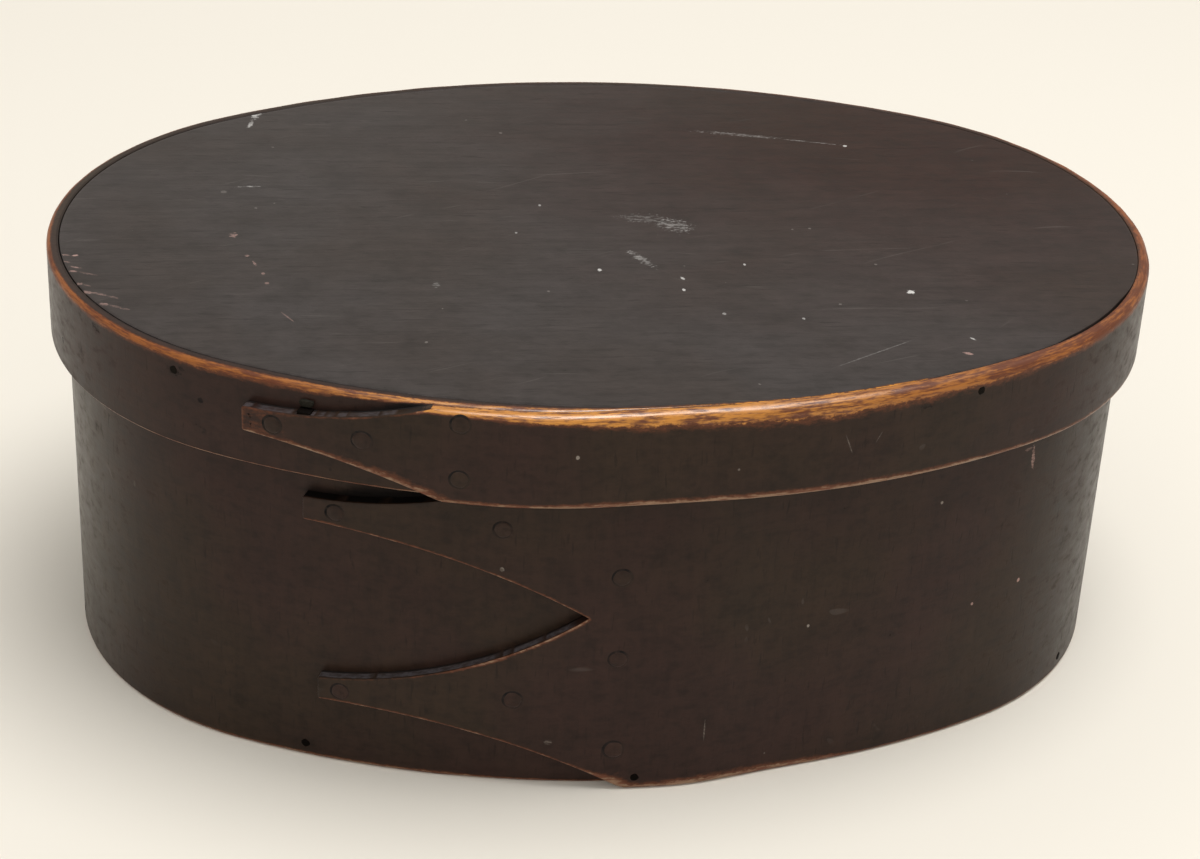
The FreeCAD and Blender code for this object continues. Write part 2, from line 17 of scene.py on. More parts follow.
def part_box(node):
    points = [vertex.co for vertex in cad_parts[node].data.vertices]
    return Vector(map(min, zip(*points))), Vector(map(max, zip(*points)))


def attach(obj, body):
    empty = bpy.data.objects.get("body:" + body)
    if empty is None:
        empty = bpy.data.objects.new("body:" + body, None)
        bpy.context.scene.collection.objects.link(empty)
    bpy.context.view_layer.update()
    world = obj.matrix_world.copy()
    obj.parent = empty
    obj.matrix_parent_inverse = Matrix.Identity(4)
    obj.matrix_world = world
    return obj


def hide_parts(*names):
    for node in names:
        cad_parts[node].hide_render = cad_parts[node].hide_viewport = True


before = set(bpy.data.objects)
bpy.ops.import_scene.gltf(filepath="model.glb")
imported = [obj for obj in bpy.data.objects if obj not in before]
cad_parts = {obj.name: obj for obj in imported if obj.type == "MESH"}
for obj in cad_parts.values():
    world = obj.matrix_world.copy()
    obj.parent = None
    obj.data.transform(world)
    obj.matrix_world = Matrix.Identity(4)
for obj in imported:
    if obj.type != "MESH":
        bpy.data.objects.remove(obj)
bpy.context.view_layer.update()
BOX_LOW, BOX_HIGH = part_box("box_band")
LID_LOW, LID_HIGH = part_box("lid_band")
BOTTOM_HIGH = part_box("box_bottom")[1]
LID_BOARD_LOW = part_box("lid_top")[0]

bl_info = {
    "name": "Oval bentwood box",
    "version": (1, 0, 0),
    "blender": (4, 5, 0),
    "location": "3D View > Sidebar > Oval Box",
    "description": "Builds an old painted oval box with swallowtail laps and a lift-off lid",
    "category": "Add Mesh",
}

MM = 0.001
UP = Vector((0, 0, 1))

# Bands: lowest and highest corner, then how far to the right of the middle the strip's inner end is at its
# full thickness, and where it ends, in millimetres.
BANDS = {"box": (BOX_LOW, BOX_HIGH, 4.0, 40.0), "lid": (LID_LOW, LID_HIGH, -30.0, 14.0)}

# Fingers: where the strip's lower edge stops, then each finger's tip and the root above it. Places are
# (distance to the left of the middle, height above the band's lower edge); None is the upper edge.
FINGERS = {
    "box": (0.5, [((64.5, 20.2), (9.6, 43.7)), ((67.2, 64.1), (0.5, None))]),
    "lid": (40.3, [((78.9, 11.8), (42.4, None))]),
}

# Tacks: (distance to the left of the middle, height above the band's lower edge), in millimetres.
TACKS = {
    "box": [(60.8, 64.1), (59.9, 20.2), (27.6, 64.5), (24.5, 22.9), (3.2, 77.6), (3.2, 53.7), (3.2, 33.7),
            (3.2, 10.6)],
    "lid": [(72.9, 11.8), (55.6, 11.8), (36.9, 18.0), (36.9, 5.6)],
}
TACK_UNDER_BOARD = ("lid", 3)
TAIL_PROUD = 0.16

# Pegs: (side of the oval, degrees anticlockwise from that side's middle, layers of band they pass).
PEGS = {
    "box": [("front", -21.9, 1), ("front", 0.5, 2), ("right", -37.0, 1), ("right", 34.0, 1),
            ("back", -16.0, 1), ("back", 5.0, 1), ("left", -58.0, 1), ("left", 8.0, 1)],
    "lid": [("front", -22.7, 1), ("front", 23.7, 1), ("right", -6.0, 1), ("right", 55.0, 1),
            ("back", -8.0, 1), ("back", 15.0, 1), ("left", -22.0, 1), ("left", 52.8, 1)],
}
LOOSE_PEG = ("lid", 1)
PEG_ABOVE_FOOT = 3.2
PEG_BELOW_RIM = 4.0
PEG_IN_BOARD = 9.0


# ---------------------------------------------------------------- sizes and colours

def length(name, default, text):
    """A length in metres."""
    return FloatProperty(name=name, default=default, unit="LENGTH", description=text)


def angle(name, degrees, text):
    """An angle, given in degrees and kept in radians."""
    return FloatProperty(name=name, default=math.radians(degrees), subtype="ANGLE", description=text)


def power(name, default, text):
    """A light's power or strength."""
    return FloatProperty(name=name, default=default, min=0, description=text)


def colour(name, default, text):
    """A linear colour."""
    return FloatVectorProperty(name=name, subtype="COLOR", size=3, min=0, max=1, default=default,
                               description=text)


class OvalBoxSizes(bpy.types.PropertyGroup):
    """Lengths of the box, in scene units."""

    inset: length("Oval inset", 0.013, "How much smaller an oval's end radius is than half its width")
    band: length("Band thickness", 0.0026, "Thickness of both bent bands")
    gap: length("Lap gap", 0.0001, "Gap between the two layers of a lap")
    scarf_tip: length("Scarf tip", 0.0003, "Thickness left at a band's thinned inner end")
    finger_curve: length("Finger curve", 0.116, "Radius of the curved edges of the fingers")
    finger_tip: length("Fingertip width", 0.0054, "Width of a finger at its square tip")
    tack_head: length("Tack head radius", 0.002, "Radius of a tack's head")
    peg: length("Peg radius", 0.0011, "Radius of a peg")


class OvalBoxFinish(bpy.types.PropertyGroup):
    """Colours of the old paint and of the wood under it, and of the shade, sheen and reflections painted on
    them.
    """

    paint: colour("Paint", (0.0250, 0.0112, 0.0080), "Dark brown of the old paint")
    paint_cool: colour("Cool paint", (0.0232, 0.0128, 0.0070), "Olive patches of the paint")
    # Painted reflection: grey for the pale surroundings reflected on the lid's top, strongest towards the
    # front and left.
    painted_top_reflection: colour("Hazy paint", (0.0352, 0.0298, 0.0288), "Grey bloom on the lid")
    # Painted reflection: pale grey for the surroundings reflected at a band's left end.
    painted_side_reflection: colour("Dull side paint", (0.078, 0.066, 0.053), "Dulled paint at the left end")
    # Painted sheen: pale grey for light from above on the fingers' up-facing edges.
    paint_dusty: colour("Dusty paint", (0.090, 0.081, 0.087), "Greyed paint on the fingers' edges")
    rubbed: colour("Rubbed paint", (0.095, 0.032, 0.014), "Thin reddish paint beside bare wood")
    worn: colour("Worn wood", (0.56, 0.230, 0.034), "Bare wood polished by handling")
    worn_aged: colour("Aged worn wood", (0.20, 0.053, 0.013), "Darker, redder worn wood")
    worn_dull: colour("Dull worn wood", (0.23, 0.134, 0.076), "Worn wood on the lower edges")
    worn_dark: colour("Dark fibres", (0.115, 0.031, 0.010), "Dirt held in the bare wood's fibres")
    inside: colour("Inside wood", (0.40, 0.235, 0.110), "Aged bare wood inside the box")
    inside_dark: colour("Inside grain", (0.225, 0.115, 0.048), "Darker grain inside the box")
    dust: colour("Dust", (0.42, 0.38, 0.34), "Pale specks")
    scuff: colour("Scuffs", (0.62, 0.60, 0.57), "Pale scuffs and spatter on the lid")
    mark_pale: colour("Pale marks", (0.30, 0.26, 0.22), "Pale marks on the bands")
    mark_pink: colour("Pink marks", (0.46, 0.29, 0.25), "Pink smears")
    mark_dark: colour("Dark marks", (0.004, 0.0025, 0.002), "Black spots on the lid's band")
    # Painted shade: near black laid above the fingers, on the box's upper finger under the lid's edge, and
    # in the groove beside the lid's board.
    painted_shade: colour("Grime", (0.0025, 0.0016, 0.0013), "Dirt packed above the fingers")


class OvalBoxStage(bpy.types.PropertyGroup):
    """The floor, the lights and the camera."""

    floor: colour("Floor", (0.80, 0.755, 0.67), "Colour of the floor")
    ambient: power("Ambient light", 0.70, "Strength of the even light")
    key: power("Key light", 11.0, "Power of the large light overhead")
    fill: power("Fill light", 2.0, "Power of the light in front")
    glint: power("Glint", 24.0, "Power of the light seen in reflections only")
    azimuth: angle("View azimuth", -7.49, "Turn of the camera about the box, from straight in front")
    elevation: angle("View elevation", 28.91, "Height of the camera above the horizon")
    roll: angle("View roll", 2.82, "Turn of the camera about its own axis")
    distance: length("View distance", 0.6239, "Distance from the camera to the box's middle")
    target: length("Target height", 0.0476, "Height that the camera looks at")
    lens: FloatProperty(name="Lens", default=80.81, description="Focal length in millimetres")
    shift_x: FloatProperty(name="Shift X", default=0.0039, description="Sideways shift of the lens")
    shift_y: FloatProperty(name="Shift Y", default=-0.0139, description="Upward shift of the lens")


def sizes():
    return bpy.context.scene.oval_box_sizes


def finish():
    return bpy.context.scene.oval_box_finish


def stage_settings():
    return bpy.context.scene.oval_box_stage


# ---------------------------------------------------------------- plan of the oval

def ease(share):
    """Runs from 0 to 1 with a level start and end."""
    share = min(max(share, 0.0), 1.0)
    return 2 * share ** 2 if share < 0.5 else 1 - 2 * (1 - share) ** 2


def keyed(keys, place):
    """A value that eases between (place, value) keys."""
    if place <= keys[0][0]:
        return keys[0][1]
    for (start, first), (end, last) in zip(keys, keys[1:]):
        if place <= end:
            return first + (last - first) * ease((place - start) / (end - start))
    return keys[-1][1]


class Oval:
    """Four tangent arcs. Travel runs clockwise from above, from the middle of the front, in millimetres."""

    def __init__(self, half_length, half_width):
        inset = sizes().inset / MM
        self.end_radius = half_width - inset
        self.end_x = half_length - self.end_radius
        self.side_radius = (self.end_x ** 2 + half_width ** 2 - self.end_radius ** 2) / (2 * inset)
        self.side_y = self.side_radius - half_width
        self.turn = math.atan2(self.end_x, self.side_y)
        self.side = self.side_radius * self.turn
        self.end = self.end_radius * (math.pi - 2 * self.turn)
        self.length = 4 * self.side + 2 * self.end

    def arcs(self):
        """Travel where each arc starts, its first normal's turn from the front, its centre and radius."""
        side, end, turn = self.side, self.end, self.turn
        front, back = Vector((0, self.side_y, 0)), Vector((0, -self.side_y, 0))
        left, right = Vector((-self.end_x, 0, 0)), Vector((self.end_x, 0, 0))
        return [
            (0.0, 0.0, front, self.side_radius),
            (side, turn, left, self.end_radius),
            (side + end, math.pi - turn, back, self.side_radius),
            (3 * side + end, math.pi + turn, right, self.end_radius),
            (3 * side + 2 * end, 2 * math.pi - turn, front, self.side_radius),
        ]

    def place(self, travel, outward=0.0):
        """The point at a travel, moved outward, and the outward direction there."""
        travel = travel % self.length
        start, first, centre, radius = [arc for arc in self.arcs() if arc[0] <= travel][-1]
        turn = first + (travel - start) / radius
        normal = Vector((-math.sin(turn), -math.cos(turn), 0))
        return centre + normal * (radius + outward), normal

    def front_travel(self, left):
        """Travel of the point on the front arc this far to the left of the middle."""
        return self.side_radius * math.asin(left / self.side_radius)

    def side_travel(self, side, degrees):
        """Travel of the point this many degrees anticlockwise from the middle of a side."""
        middle, radius = {
            "front": (0.0, self.side_radius),
            "left": (self.side + self.end / 2, self.end_radius),
            "back": (2 * self.side + self.end, self.side_radius),
            "right": (3 * self.side + 1.5 * self.end, self.end_radius),
        }[side]
        return middle - radius * math.radians(degrees)

    def travel_of(self, point):
        """Travel of the place on the oval nearest to a point near its edge."""
        beside = abs(math.atan2(point.y, abs(point.x) - self.end_x))
        if abs(point.x) > self.end_x and beside < math.pi / 2 - self.turn:
            outward = math.degrees(math.atan2(point.y, point.x - math.copysign(self.end_x, point.x)))
            if point.x > 0:
                return self.side_travel("right", outward)
            return self.side_travel("left", outward % 360 - 180)
        side = math.copysign(1, point.y)
        outward = math.degrees(math.atan2(point.y + side * self.side_y, point.x))
        if side > 0:
            return self.side_travel("back", outward - 90)
        return self.side_travel("front", outward + 90)


# The hand-bent wall waves by up to twice this depth. Just before the lap, the strip's inner face lifts over
# this length to clear the thinned end.
RIPPLE_SCALE = 0.021
RIPPLE_DEPTH = 0.09
LIFT_LENGTH = 8


def ripple(point, height):
    """How far the hand-bent wall leans inward here, in millimetres below zero."""
    wave = noise.noise(Vector((point.x, point.y, height)) * RIPPLE_SCALE)
    return -RIPPLE_DEPTH * (1 + wave)


class Band:
    """One strip of thin wood, bent once round the oval and on over its own thinned inner end."""

    def __init__(self, name):
        low, high, scarf_full, scarf_end = BANDS[name]
        self.name = name
        self.oval = Oval(high.x / MM, high.y / MM)
        self.bottom = low.z / MM
        self.top = high.z / MM
        self.thickness = sizes().band / MM
        self.gap = sizes().gap / MM
        self.tip = sizes().scarf_tip / MM
        self.start = self.oval.front_travel(-scarf_end)
        self.full = self.oval.front_travel(-scarf_full)
        self.lap_start = self.oval.length + self.start

    def faces(self, travel):
        """Offsets from the oval of the strip's inner and outer face."""
        thickness, gap, tip = self.thickness, self.gap, self.tip
        if travel < self.lap_start:
            share = ease((travel - self.start) / (self.full - self.start))
            lift = ease((travel - self.lap_start + LIFT_LENGTH) / LIFT_LENGTH) * (gap + tip)
            return -thickness + lift, -thickness + tip + (thickness - tip) * share
        share = ease((travel - self.lap_start) / (self.full - self.start))
        return gap + (tip - thickness) * (1 - share), (thickness + gap) * share

    def wrap(self, travel, depth, height):
        """Flat strip coordinates to the frame. Depth runs from 0 on the inner face to the thickness."""
        inner, outer = self.faces(travel)
        offset = inner + (outer - inner) * depth / self.thickness
        return self.beside(travel, offset, height)

    def beside(self, travel, offset, height):
        """The point at this travel and height, at an offset from the uneven wall."""
        nominal, _ = self.oval.place(travel)
        point, _ = self.oval.place(travel, offset + ripple(nominal, height))
        return Vector((point.x, point.y, height))

    def lap_travel(self, left):
        """Travel on the outer layer of the lap of a point this far to the left of the middle."""
        return self.oval.length + (self.oval.front_travel(left) if left > 0 else left)


# ---------------------------------------------------------------- outlines and mesh tools

FINGER_STEPS = 24
OVAL_STEPS = 72
CUT_SNAP = 0.0004


def vertices(geometry):
    """The vertices in a list of mesh parts."""
    return [item for item in geometry if isinstance(item, bmesh.types.BMVert)]


def draw_to(bm, pen, point):
    """Draws a straight edge from the pen's vertex."""
    drawn = bmesh.ops.extrude_vert_indiv(bm, verts=[pen])["verts"][0]
    drawn.co = point
    return drawn


def draw_arc(bm, pen, centre, axis, turn, steps):
    """Draws an arc from the pen's vertex."""
    spun = bmesh.ops.spin(bm, geom=[pen], cent=centre, axis=axis, dvec=(0, 0, 0), angle=turn, steps=steps,
                          use_merge=False, use_normal_flip=False, use_duplicate=False)
    return vertices(spun["geom_last"])[0]


def draw_curve(bm, pen, left, height, centre_above):
    """Draws a finger's curved edge from the pen's vertex, with its centre above or below it."""
    radius = sizes().finger_curve / MM
    here = pen.co.copy()
    there = Vector((left, 0, height))
    chord = there - here
    across = Vector((-chord.z, 0, chord.x)).normalized()
    if (across.z > 0) != centre_above:
        across = -across
    centre = (here + there) / 2 + across * math.sqrt(radius ** 2 - (chord.length / 2) ** 2)
    turn = (here - centre).angle(there - centre)
    axis = (here - centre).cross(there - centre).normalized()
    return draw_arc(bm, pen, centre, axis, turn, FINGER_STEPS)


def draw_strip(bm, band):
    """Draws the flat strip's outline, with its fingers at the left end."""
    half_tip = sizes().finger_tip / MM / 2
    lower_end, fingers = FINGERS[band.name]
    start = band.start - band.oval.length
    pen = bm.verts.new((start, 0, band.top))
    pen = draw_to(bm, pen, (start, 0, band.bottom))
    pen = draw_to(bm, pen, (lower_end, 0, band.bottom))
    for (tip_left, tip_height), (root_left, root_height) in fingers:
        middle = band.bottom + tip_height
        pen = draw_curve(bm, pen, tip_left, middle - half_tip, False)
        pen = draw_to(bm, pen, (tip_left, 0, middle + half_tip))
        root = band.top if root_height is None else band.bottom + root_height
        pen = draw_curve(bm, pen, root_left, root, True)
    draw_to(bm, pen, (start, 0, band.top))


def draw_oval(bm, oval, offset, height):
    """Draws a closed oval outline, moved outward by an offset."""
    turn = math.degrees(oval.turn)
    first, _ = oval.place(oval.side_travel("right", turn - 90), offset)
    pen = bm.verts.new(first + UP * height)
    side, end = math.radians(2 * turn), math.radians(180 - 2 * turn)
    for x, y, sweep in ((oval.end_x, 0, end), (0, -oval.side_y, side), (-oval.end_x, 0, end),
                        (0, oval.side_y, side)):
        pen = draw_arc(bm, pen, (x, y, height), UP, sweep, OVAL_STEPS)
    bmesh.ops.remove_doubles(bm, verts=bm.verts, dist=0.01)


def slice_along(bm, axis, places):
    """Cuts the mesh by planes across one axis."""
    normal = Vector((0, 0, 0))
    normal[axis] = 1
    for place in places:
        geometry = bm.verts[:] + bm.edges[:] + bm.faces[:]
        bmesh.ops.bisect_plane(bm, geom=geometry, dist=CUT_SNAP, plane_co=normal * place, plane_no=normal)


def steps_between(start, end, step):
    """Even places between two ends, about one step apart."""
    count = max(1, round((end - start) / step))
    return [start + (end - start) * number / count for number in range(1, count)]


def bevel(bm, edges, amount):
    """Rounds edges by an amount in millimetres."""
    bmesh.ops.bevel(bm, geom=edges, offset=amount, offset_type="OFFSET", affect="EDGES", segments=2,
                    profile=0.5, material=-1, clamp_overlap=True)


def raise_face(bm, face, direction):
    """Extrudes a face in a direction."""
    raised = bmesh.ops.extrude_face_region(bm, geom=[face])["geom"]
    bmesh.ops.translate(bm, vec=direction, verts=vertices(raised))
    bmesh.ops.recalc_face_normals(bm, faces=bm.faces)


def largest_face(bm, axis):
    """The largest face that looks along an axis."""
    return max((face for face in bm.faces if face.normal[axis] > 0.99), key=lambda face: face.calc_area())


def rounded_corner(across, down, radius):
    """Moves a point of a square corner onto a round one. Both distances run inward from the corner."""
    if across >= radius or down >= radius:
        return across, down
    first, second = 1 - across / radius, 1 - down / radius
    reach = max(first, second)
    turn = math.radians(45 * second / first if first >= second else 90 - 45 * first / second)
    return radius * (1 - reach * math.cos(turn)), radius * (1 - reach * math.sin(turn))


# How finely a strip is cut, in millimetres: its cells, and closer rows over the fingers, between their start
# and end along the strip.
STRIP_CELL = 2.2
STRIP_ROWS = 4.0
FINGER_ROWS = 0.8
FINGERS_START = -2
FINGERS_END = 86
ROW_REACH = 5

# Distances of the closer cuts from the rim, from the foot, and from the outer face.
RIM_STEPS = (0.2, 0.45, 0.75, 1.1, 1.5, 2.0, 2.6, 3.3, 4.2, 5.4)
FOOT_STEPS = (0.15, 0.35, 0.6, 0.9, 1.4, 2.1, 3.0)
DEPTH_STEPS = (0.2, 0.45, 0.75, 1.1, 1.5, 1.95, 2.25, 2.45)
EDGE_INSETS = (0.12, 0.3, 0.6, 0.9)

# Fingertips lie past this distance, and their corners turn by more than this angle in radians.
TIPS_START = 30
CORNER_TURN = 0.9
TIP_ROUND = 0.5
FINGER_EDGE_ROUND = 0.3
SHORTEST_EDGE = 0.25


def flat_strip(band):
    """The band as a flat strip with shaped fingers: X is travel, Y is depth, Z is height."""
    bm = bmesh.new()
    draw_strip(bm, band)
    bmesh.ops.remove_doubles(bm, verts=bm.verts, dist=0.001)
    for vert in bm.verts:
        vert.co.x = band.lap_travel(vert.co.x)
    finger_start = band.oval.length + 0.2
    drawn = [vert.co.copy() for vert in bm.verts if vert.co.x > finger_start]
    bmesh.ops.contextual_create(bm, geom=bm.edges[:])
    tips_start = finger_start + TIPS_START
    corners = [vert for vert in bm.verts if vert.co.x > tips_start and turn_at(vert) > CORNER_TURN]
    bmesh.ops.bevel(bm, geom=corners, offset=TIP_ROUND, offset_type="OFFSET", affect="VERTICES", segments=3,
                    profile=0.5, material=-1)
    raise_face(bm, bm.faces[:][0], (0, band.thickness, 0))
    rims = [edge for edge in bm.edges
            if all(abs(vert.co.y - band.thickness) < 0.001 for vert in edge.verts)
            and max(vert.co.x for vert in edge.verts) > finger_start
            and not is_level(edge, band)]
    bevel(bm, rims, FINGER_EDGE_ROUND)
    for number, width in enumerate(EDGE_INSETS):
        front = largest_face(bm, 1)
        bmesh.ops.inset_region(bm, faces=[front], thickness=width, use_even_offset=True)
        if number == 0:
            short = [edge for edge in front.edges if edge.calc_length() < SHORTEST_EDGE]
            bmesh.ops.collapse(bm, edges=short, uvs=False)
    return bm, drawn


def turn_at(vert):
    """How far a flat outline turns at one of its corners, in radians."""
    first, second = [edge.other_vert(vert).co - vert.co for edge in vert.link_edges]
    return math.pi - first.angle(second)


def is_level(edge, band):
    """True for the strip's straight upper and lower edges."""
    heights = [vert.co.z for vert in edge.verts]
    return any(all(abs(height - level) < 0.001 for height in heights) for level in (band.bottom, band.top))


def cut_strip(bm, band):
    """Cuts the flat strip finely enough to bend it and to round its edges."""
    last = max(vert.co.x for vert in bm.verts)
    slice_along(bm, 0, steps_between(band.start, last, STRIP_CELL))
    levels = [band.top - step for step in RIM_STEPS] + [band.bottom + step for step in FOOT_STEPS]
    levels += steps_between(band.bottom + FOOT_STEPS[-1], band.top - RIM_STEPS[-1], STRIP_ROWS)
    slice_along(bm, 2, levels)
    slice_along(bm, 1, [band.thickness - step for step in DEPTH_STEPS])
    for level in steps_between(band.bottom + 3.5, band.top - 1.5, FINGER_ROWS):
        beside = [face for face in bm.faces
                  if face.normal.y > 0.99 and FINGERS_START < face.calc_center_median().x < FINGERS_END
                  and abs(face.calc_center_median().z - level) < ROW_REACH]
        near = {part for face in beside for part in (*face.edges, *face.verts)}
        bmesh.ops.bisect_plane(bm, geom=list(near) + beside, dist=CUT_SNAP, plane_co=(0, 0, level),
                               plane_no=UP)
    bmesh.ops.remove_doubles(bm, verts=bm.verts, dist=0.0005)


# Spacing of the points kept along the fingers' outline, and the length past which one of its edges is a
# straight one of the strip.
OUTLINE_STEP = 0.25
LONGEST_CURVED = 8


class FingerEdge:
    """Points close together along the fingers' outline, to measure distances from it."""

    def __init__(self, drawn):
        self.sides = []
        points = []
        for here, there in zip(drawn, drawn[1:]):
            along = there - here
            count = max(1, int(along.length / OUTLINE_STEP))
            side = "tip" if abs(along.x) < 0.1 else "under" if along.x > 0 else "upper"
            if along.length < LONGEST_CURVED:
                points += [here.lerp(there, number / count) for number in range(count + 1)]
                self.sides += [side] * (count + 1)
        self.tree = kdtree.KDTree(len(points))
        for number, point in enumerate(points):
            self.tree.insert(Vector((point.x, 0, point.z)), number)
        self.tree.balance()

    def nearest(self, travel, height):
        """Distance to the outline, the side of the finger that is nearest, and the height of that place."""
        place, number, distance = self.tree.find(Vector((travel, 0, height)))
        return distance, self.sides[number], place.z


# Bounds of a strip's zones in millimetres: its outer face and its edges, how deep aged wear and the painted
# shade in the groove reach below the rim, where the laid-over layer starts, and where the painted shade
# above the fingers ends.
ON_FACE = 0.32
ON_EDGE = 0.01
AGED_DEPTH = 7
GROOVE_DEPTH = 4
OVERLAP_START = -5
SHADOW_END = 95

# Wood left at the rim behind its rounding, and the rounding of the strip's inner edges.
WALL_LEFT = 0.35
INNER_ROUND = 0.3

# Painted shade in the groove beside the lid's board: (travel in millimetres, share).
GROOVE_SHADE = [(0, 1.0), (333, 0.6), (440, 0.0), (535, 0.0), (546, 1.0)]


def edge_wear(wear, travel, down, up, out):
    """Wear by the strip's long edges: 1 on an edge, 0 where it stops. Distances run inward from them."""
    foot = keyed(wear.foot, travel)
    worn = -1.0
    if out < ON_FACE:
        worn = max(1 - down / keyed(wear.face, travel), wear.foot_peak - up / foot)
    if down < ON_EDGE:
        worn = max(worn, 1 - out / keyed(wear.top, travel))
    if up < ON_EDGE:
        worn = max(worn, wear.foot_peak - out / (2 * foot))
    return worn


def round_edges(band, wear, travel, depth, height):
    """Moves a point of the square strip onto its rounded edges."""
    uneven = 1 + 0.22 * noise.noise(Vector((travel * 0.13, 3.1, height * 0.02)))
    rim = min(keyed(wear.rim_round, travel) * uneven, band.thickness - WALL_LEFT)
    foot = keyed(wear.foot_round, travel) * uneven
    out, down = rounded_corner(band.thickness - depth, band.top - height, rim)
    depth, height = band.thickness - out, band.top - down
    out, up = rounded_corner(band.thickness - depth, height - band.bottom, foot)
    depth, height = band.thickness - out, band.bottom + up
    depth, down = rounded_corner(depth, band.top - height, INNER_ROUND)
    depth, up = rounded_corner(depth, band.top - down - band.bottom, INNER_ROUND)
    return depth, band.bottom + up


def bend_strip(bm, band, wear, fingers):
    """Rounds the strip's edges, notes where it is worn and bare and where shade and sheen are painted, and
    bends it round the oval.
    """
    flow = bm.verts.layers.float_vector.new("flow")
    edge = bm.verts.layers.float.new("edge")
    inside = bm.verts.layers.float.new("inside")
    painted_shade = bm.verts.layers.float.new("painted_shade")
    ageing = bm.verts.layers.float.new("ageing")
    for vert in bm.verts:
        travel, depth, height = vert.co
        vert[flow] = Vector((travel, depth, height)) * MM
        down, up, out = band.top - height, height - band.bottom, band.thickness - depth
        left = travel - band.oval.length
        worn = edge_wear(wear, travel, down, up, out)
        age = keyed(wear.ageing, travel) if down < AGED_DEPTH else -1.0
        if left > OVERLAP_START:
            flat, side, _ = fingers.nearest(travel, height)
            reach, peak = wear.finger(left, height, side)
            rubbed = peak - math.hypot(flat, out if side == "under" else 3 * out) / reach
            age = -1.0 if rubbed > worn else age
            worn = max(worn, rubbed, wear.handled(left) if out < ON_FACE else -1.0)
            # On a finger's upper edge, painted shade darkens the face near the wall and near the root;
            # elsewhere a value below zero paints the pale sheen of light from above.
            if side == "upper" and flat < 0.1 and out >= ON_FACE:
                dark = max(wear.shadow(left, height)[1], ease((0.6 - depth) / 0.4))
                vert[painted_shade] = dark if dark > 0.1 else wear.dusty
        # Below the lap, painted shade darkens the strip just above the fingers' edges and takes the wear
        # away there.
        elif travel < SHADOW_END and out < ON_FACE:
            flat, side, level = fingers.nearest(travel + band.oval.length, height)
            width, _ = wear.shadow(travel, height)
            if side != "upper" or height < level - 1:
                width = 0.3
            vert[painted_shade] = ease(1.25 - flat / (1.6 * width)) * (0.3 + 0.7 * ease((width - 0.36) / 0.4))
            worn -= 0.8 * vert[painted_shade]
        vert[edge] = max(worn, -1.0)
        bare = travel < band.lap_start and down >= ON_EDGE
        vert[inside] = ease((0.7 - depth) / 0.5) * ease((band.top - 1.0 - height) / 2.5) if bare else 0.0
        # Painted shade darkens the inner face in the groove beside the lid's board.
        if depth < 0.5 and down < GROOVE_DEPTH and band.name == "lid":
            groove_shade = keyed(GROOVE_SHADE, travel)
            vert[painted_shade] = groove_shade if down > 0.3 else 0.5 * groove_shade
        vert[ageing] = age
        depth, height = round_edges(band, wear, travel, depth, height)
        vert.co = band.wrap(travel, depth, height)


def finished(name, bm, material, body, nodes, sharp=38.0):
    """Turns a mesh in millimetres into a piece that rides on a body and stands for CAD nodes."""
    bmesh.ops.scale(bm, vec=(MM, MM, MM), verts=bm.verts)
    limit = math.radians(sharp)
    for face in bm.faces:
        face.smooth = True
    for edge in bm.edges:
        edge.smooth = len(edge.link_faces) == 2 and edge.calc_face_angle() < limit
    mesh = bpy.data.meshes.new(name)
    bm.to_mesh(mesh)
    bm.free()
    mesh.materials.append(material)
    piece = bpy.data.objects.new(name, mesh)
    bpy.context.scene.collection.objects.link(piece)
    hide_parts(*nodes)
    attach(piece, body)
    return piece


# ---------------------------------------------------------------- node tools
# What feeds a node is another node's output, a number, a vector or a colour of three numbers.

VECTOR = "NodeSocketVector"
COLOUR = "NodeSocketColor"
VALUE = "NodeSocketFloat"


def feed(socket, value):
    """Links an output to an input, or sets the input's value."""
    if isinstance(value, bpy.types.NodeSocket):
        socket.id_data.links.new(value, socket)
    else:
        socket.default_value = (*value, 1) if socket.type == "RGBA" else value


def put(kind, fill, tree=None, **settings):
    """Adds a node to a tree, or to the tree of what feeds it. fill maps inputs to what feeds them."""
    if tree is None:
        tree = next(value.id_data for value in fill.values() if isinstance(value, bpy.types.NodeSocket))
    made = tree.nodes.new(kind)
    for name, value in settings.items():
        setattr(made, name, value)
    for name, value in fill.items():
        feed(made.inputs[name], value)
    return made


def maths(operation, first, second=0.0, third=0.0, clamp=False):
    """Works on one, two or three values."""
    fill = {0: first, 1: second, 2: third}
    return put("ShaderNodeMath", fill, operation=operation, use_clamp=clamp).outputs[0]


add = partial(maths, "ADD")
subtract = partial(maths, "SUBTRACT")
multiply = partial(maths, "MULTIPLY")
multiply_add = partial(maths, "MULTIPLY_ADD")
maximum = partial(maths, "MAXIMUM")
less_than = partial(maths, "LESS_THAN")


def centred(value):
    """A noise moved to lie about zero."""
    return subtract(value, 0.5)


def vector_maths(operation, first, second=None):
    """Works on one vector, on two, or on a vector and its scale."""
    fill = {0: first}
    if second is not None:
        fill["Scale" if operation == "SCALE" else 1] = second
    outputs = put("ShaderNodeVectorMath", fill, operation=operation).outputs
    return outputs["Value" if operation == "LENGTH" else "Vector"]


def blend_colours(share, first, second):
    """Goes from the first colour to the second as the share goes from 0 to 1."""
    return put("ShaderNodeMix", {0: share, 6: first, 7: second}, data_type="RGBA").outputs[2]


def blend_values(share, first, second):
    """Goes from the first value to the second as the share goes from 0 to 1."""
    return put("ShaderNodeMix", {0: share, 2: first, 3: second}).outputs[0]


def ramp(value, low, high, first=0.0, last=1.0):
    """A smooth step of a value from low to high, put out from first to last."""
    fill = {0: value, 1: low, 2: high, 3: first, 4: last}
    return put("ShaderNodeMapRange", fill, interpolation_type="SMOOTHSTEP").outputs[0]


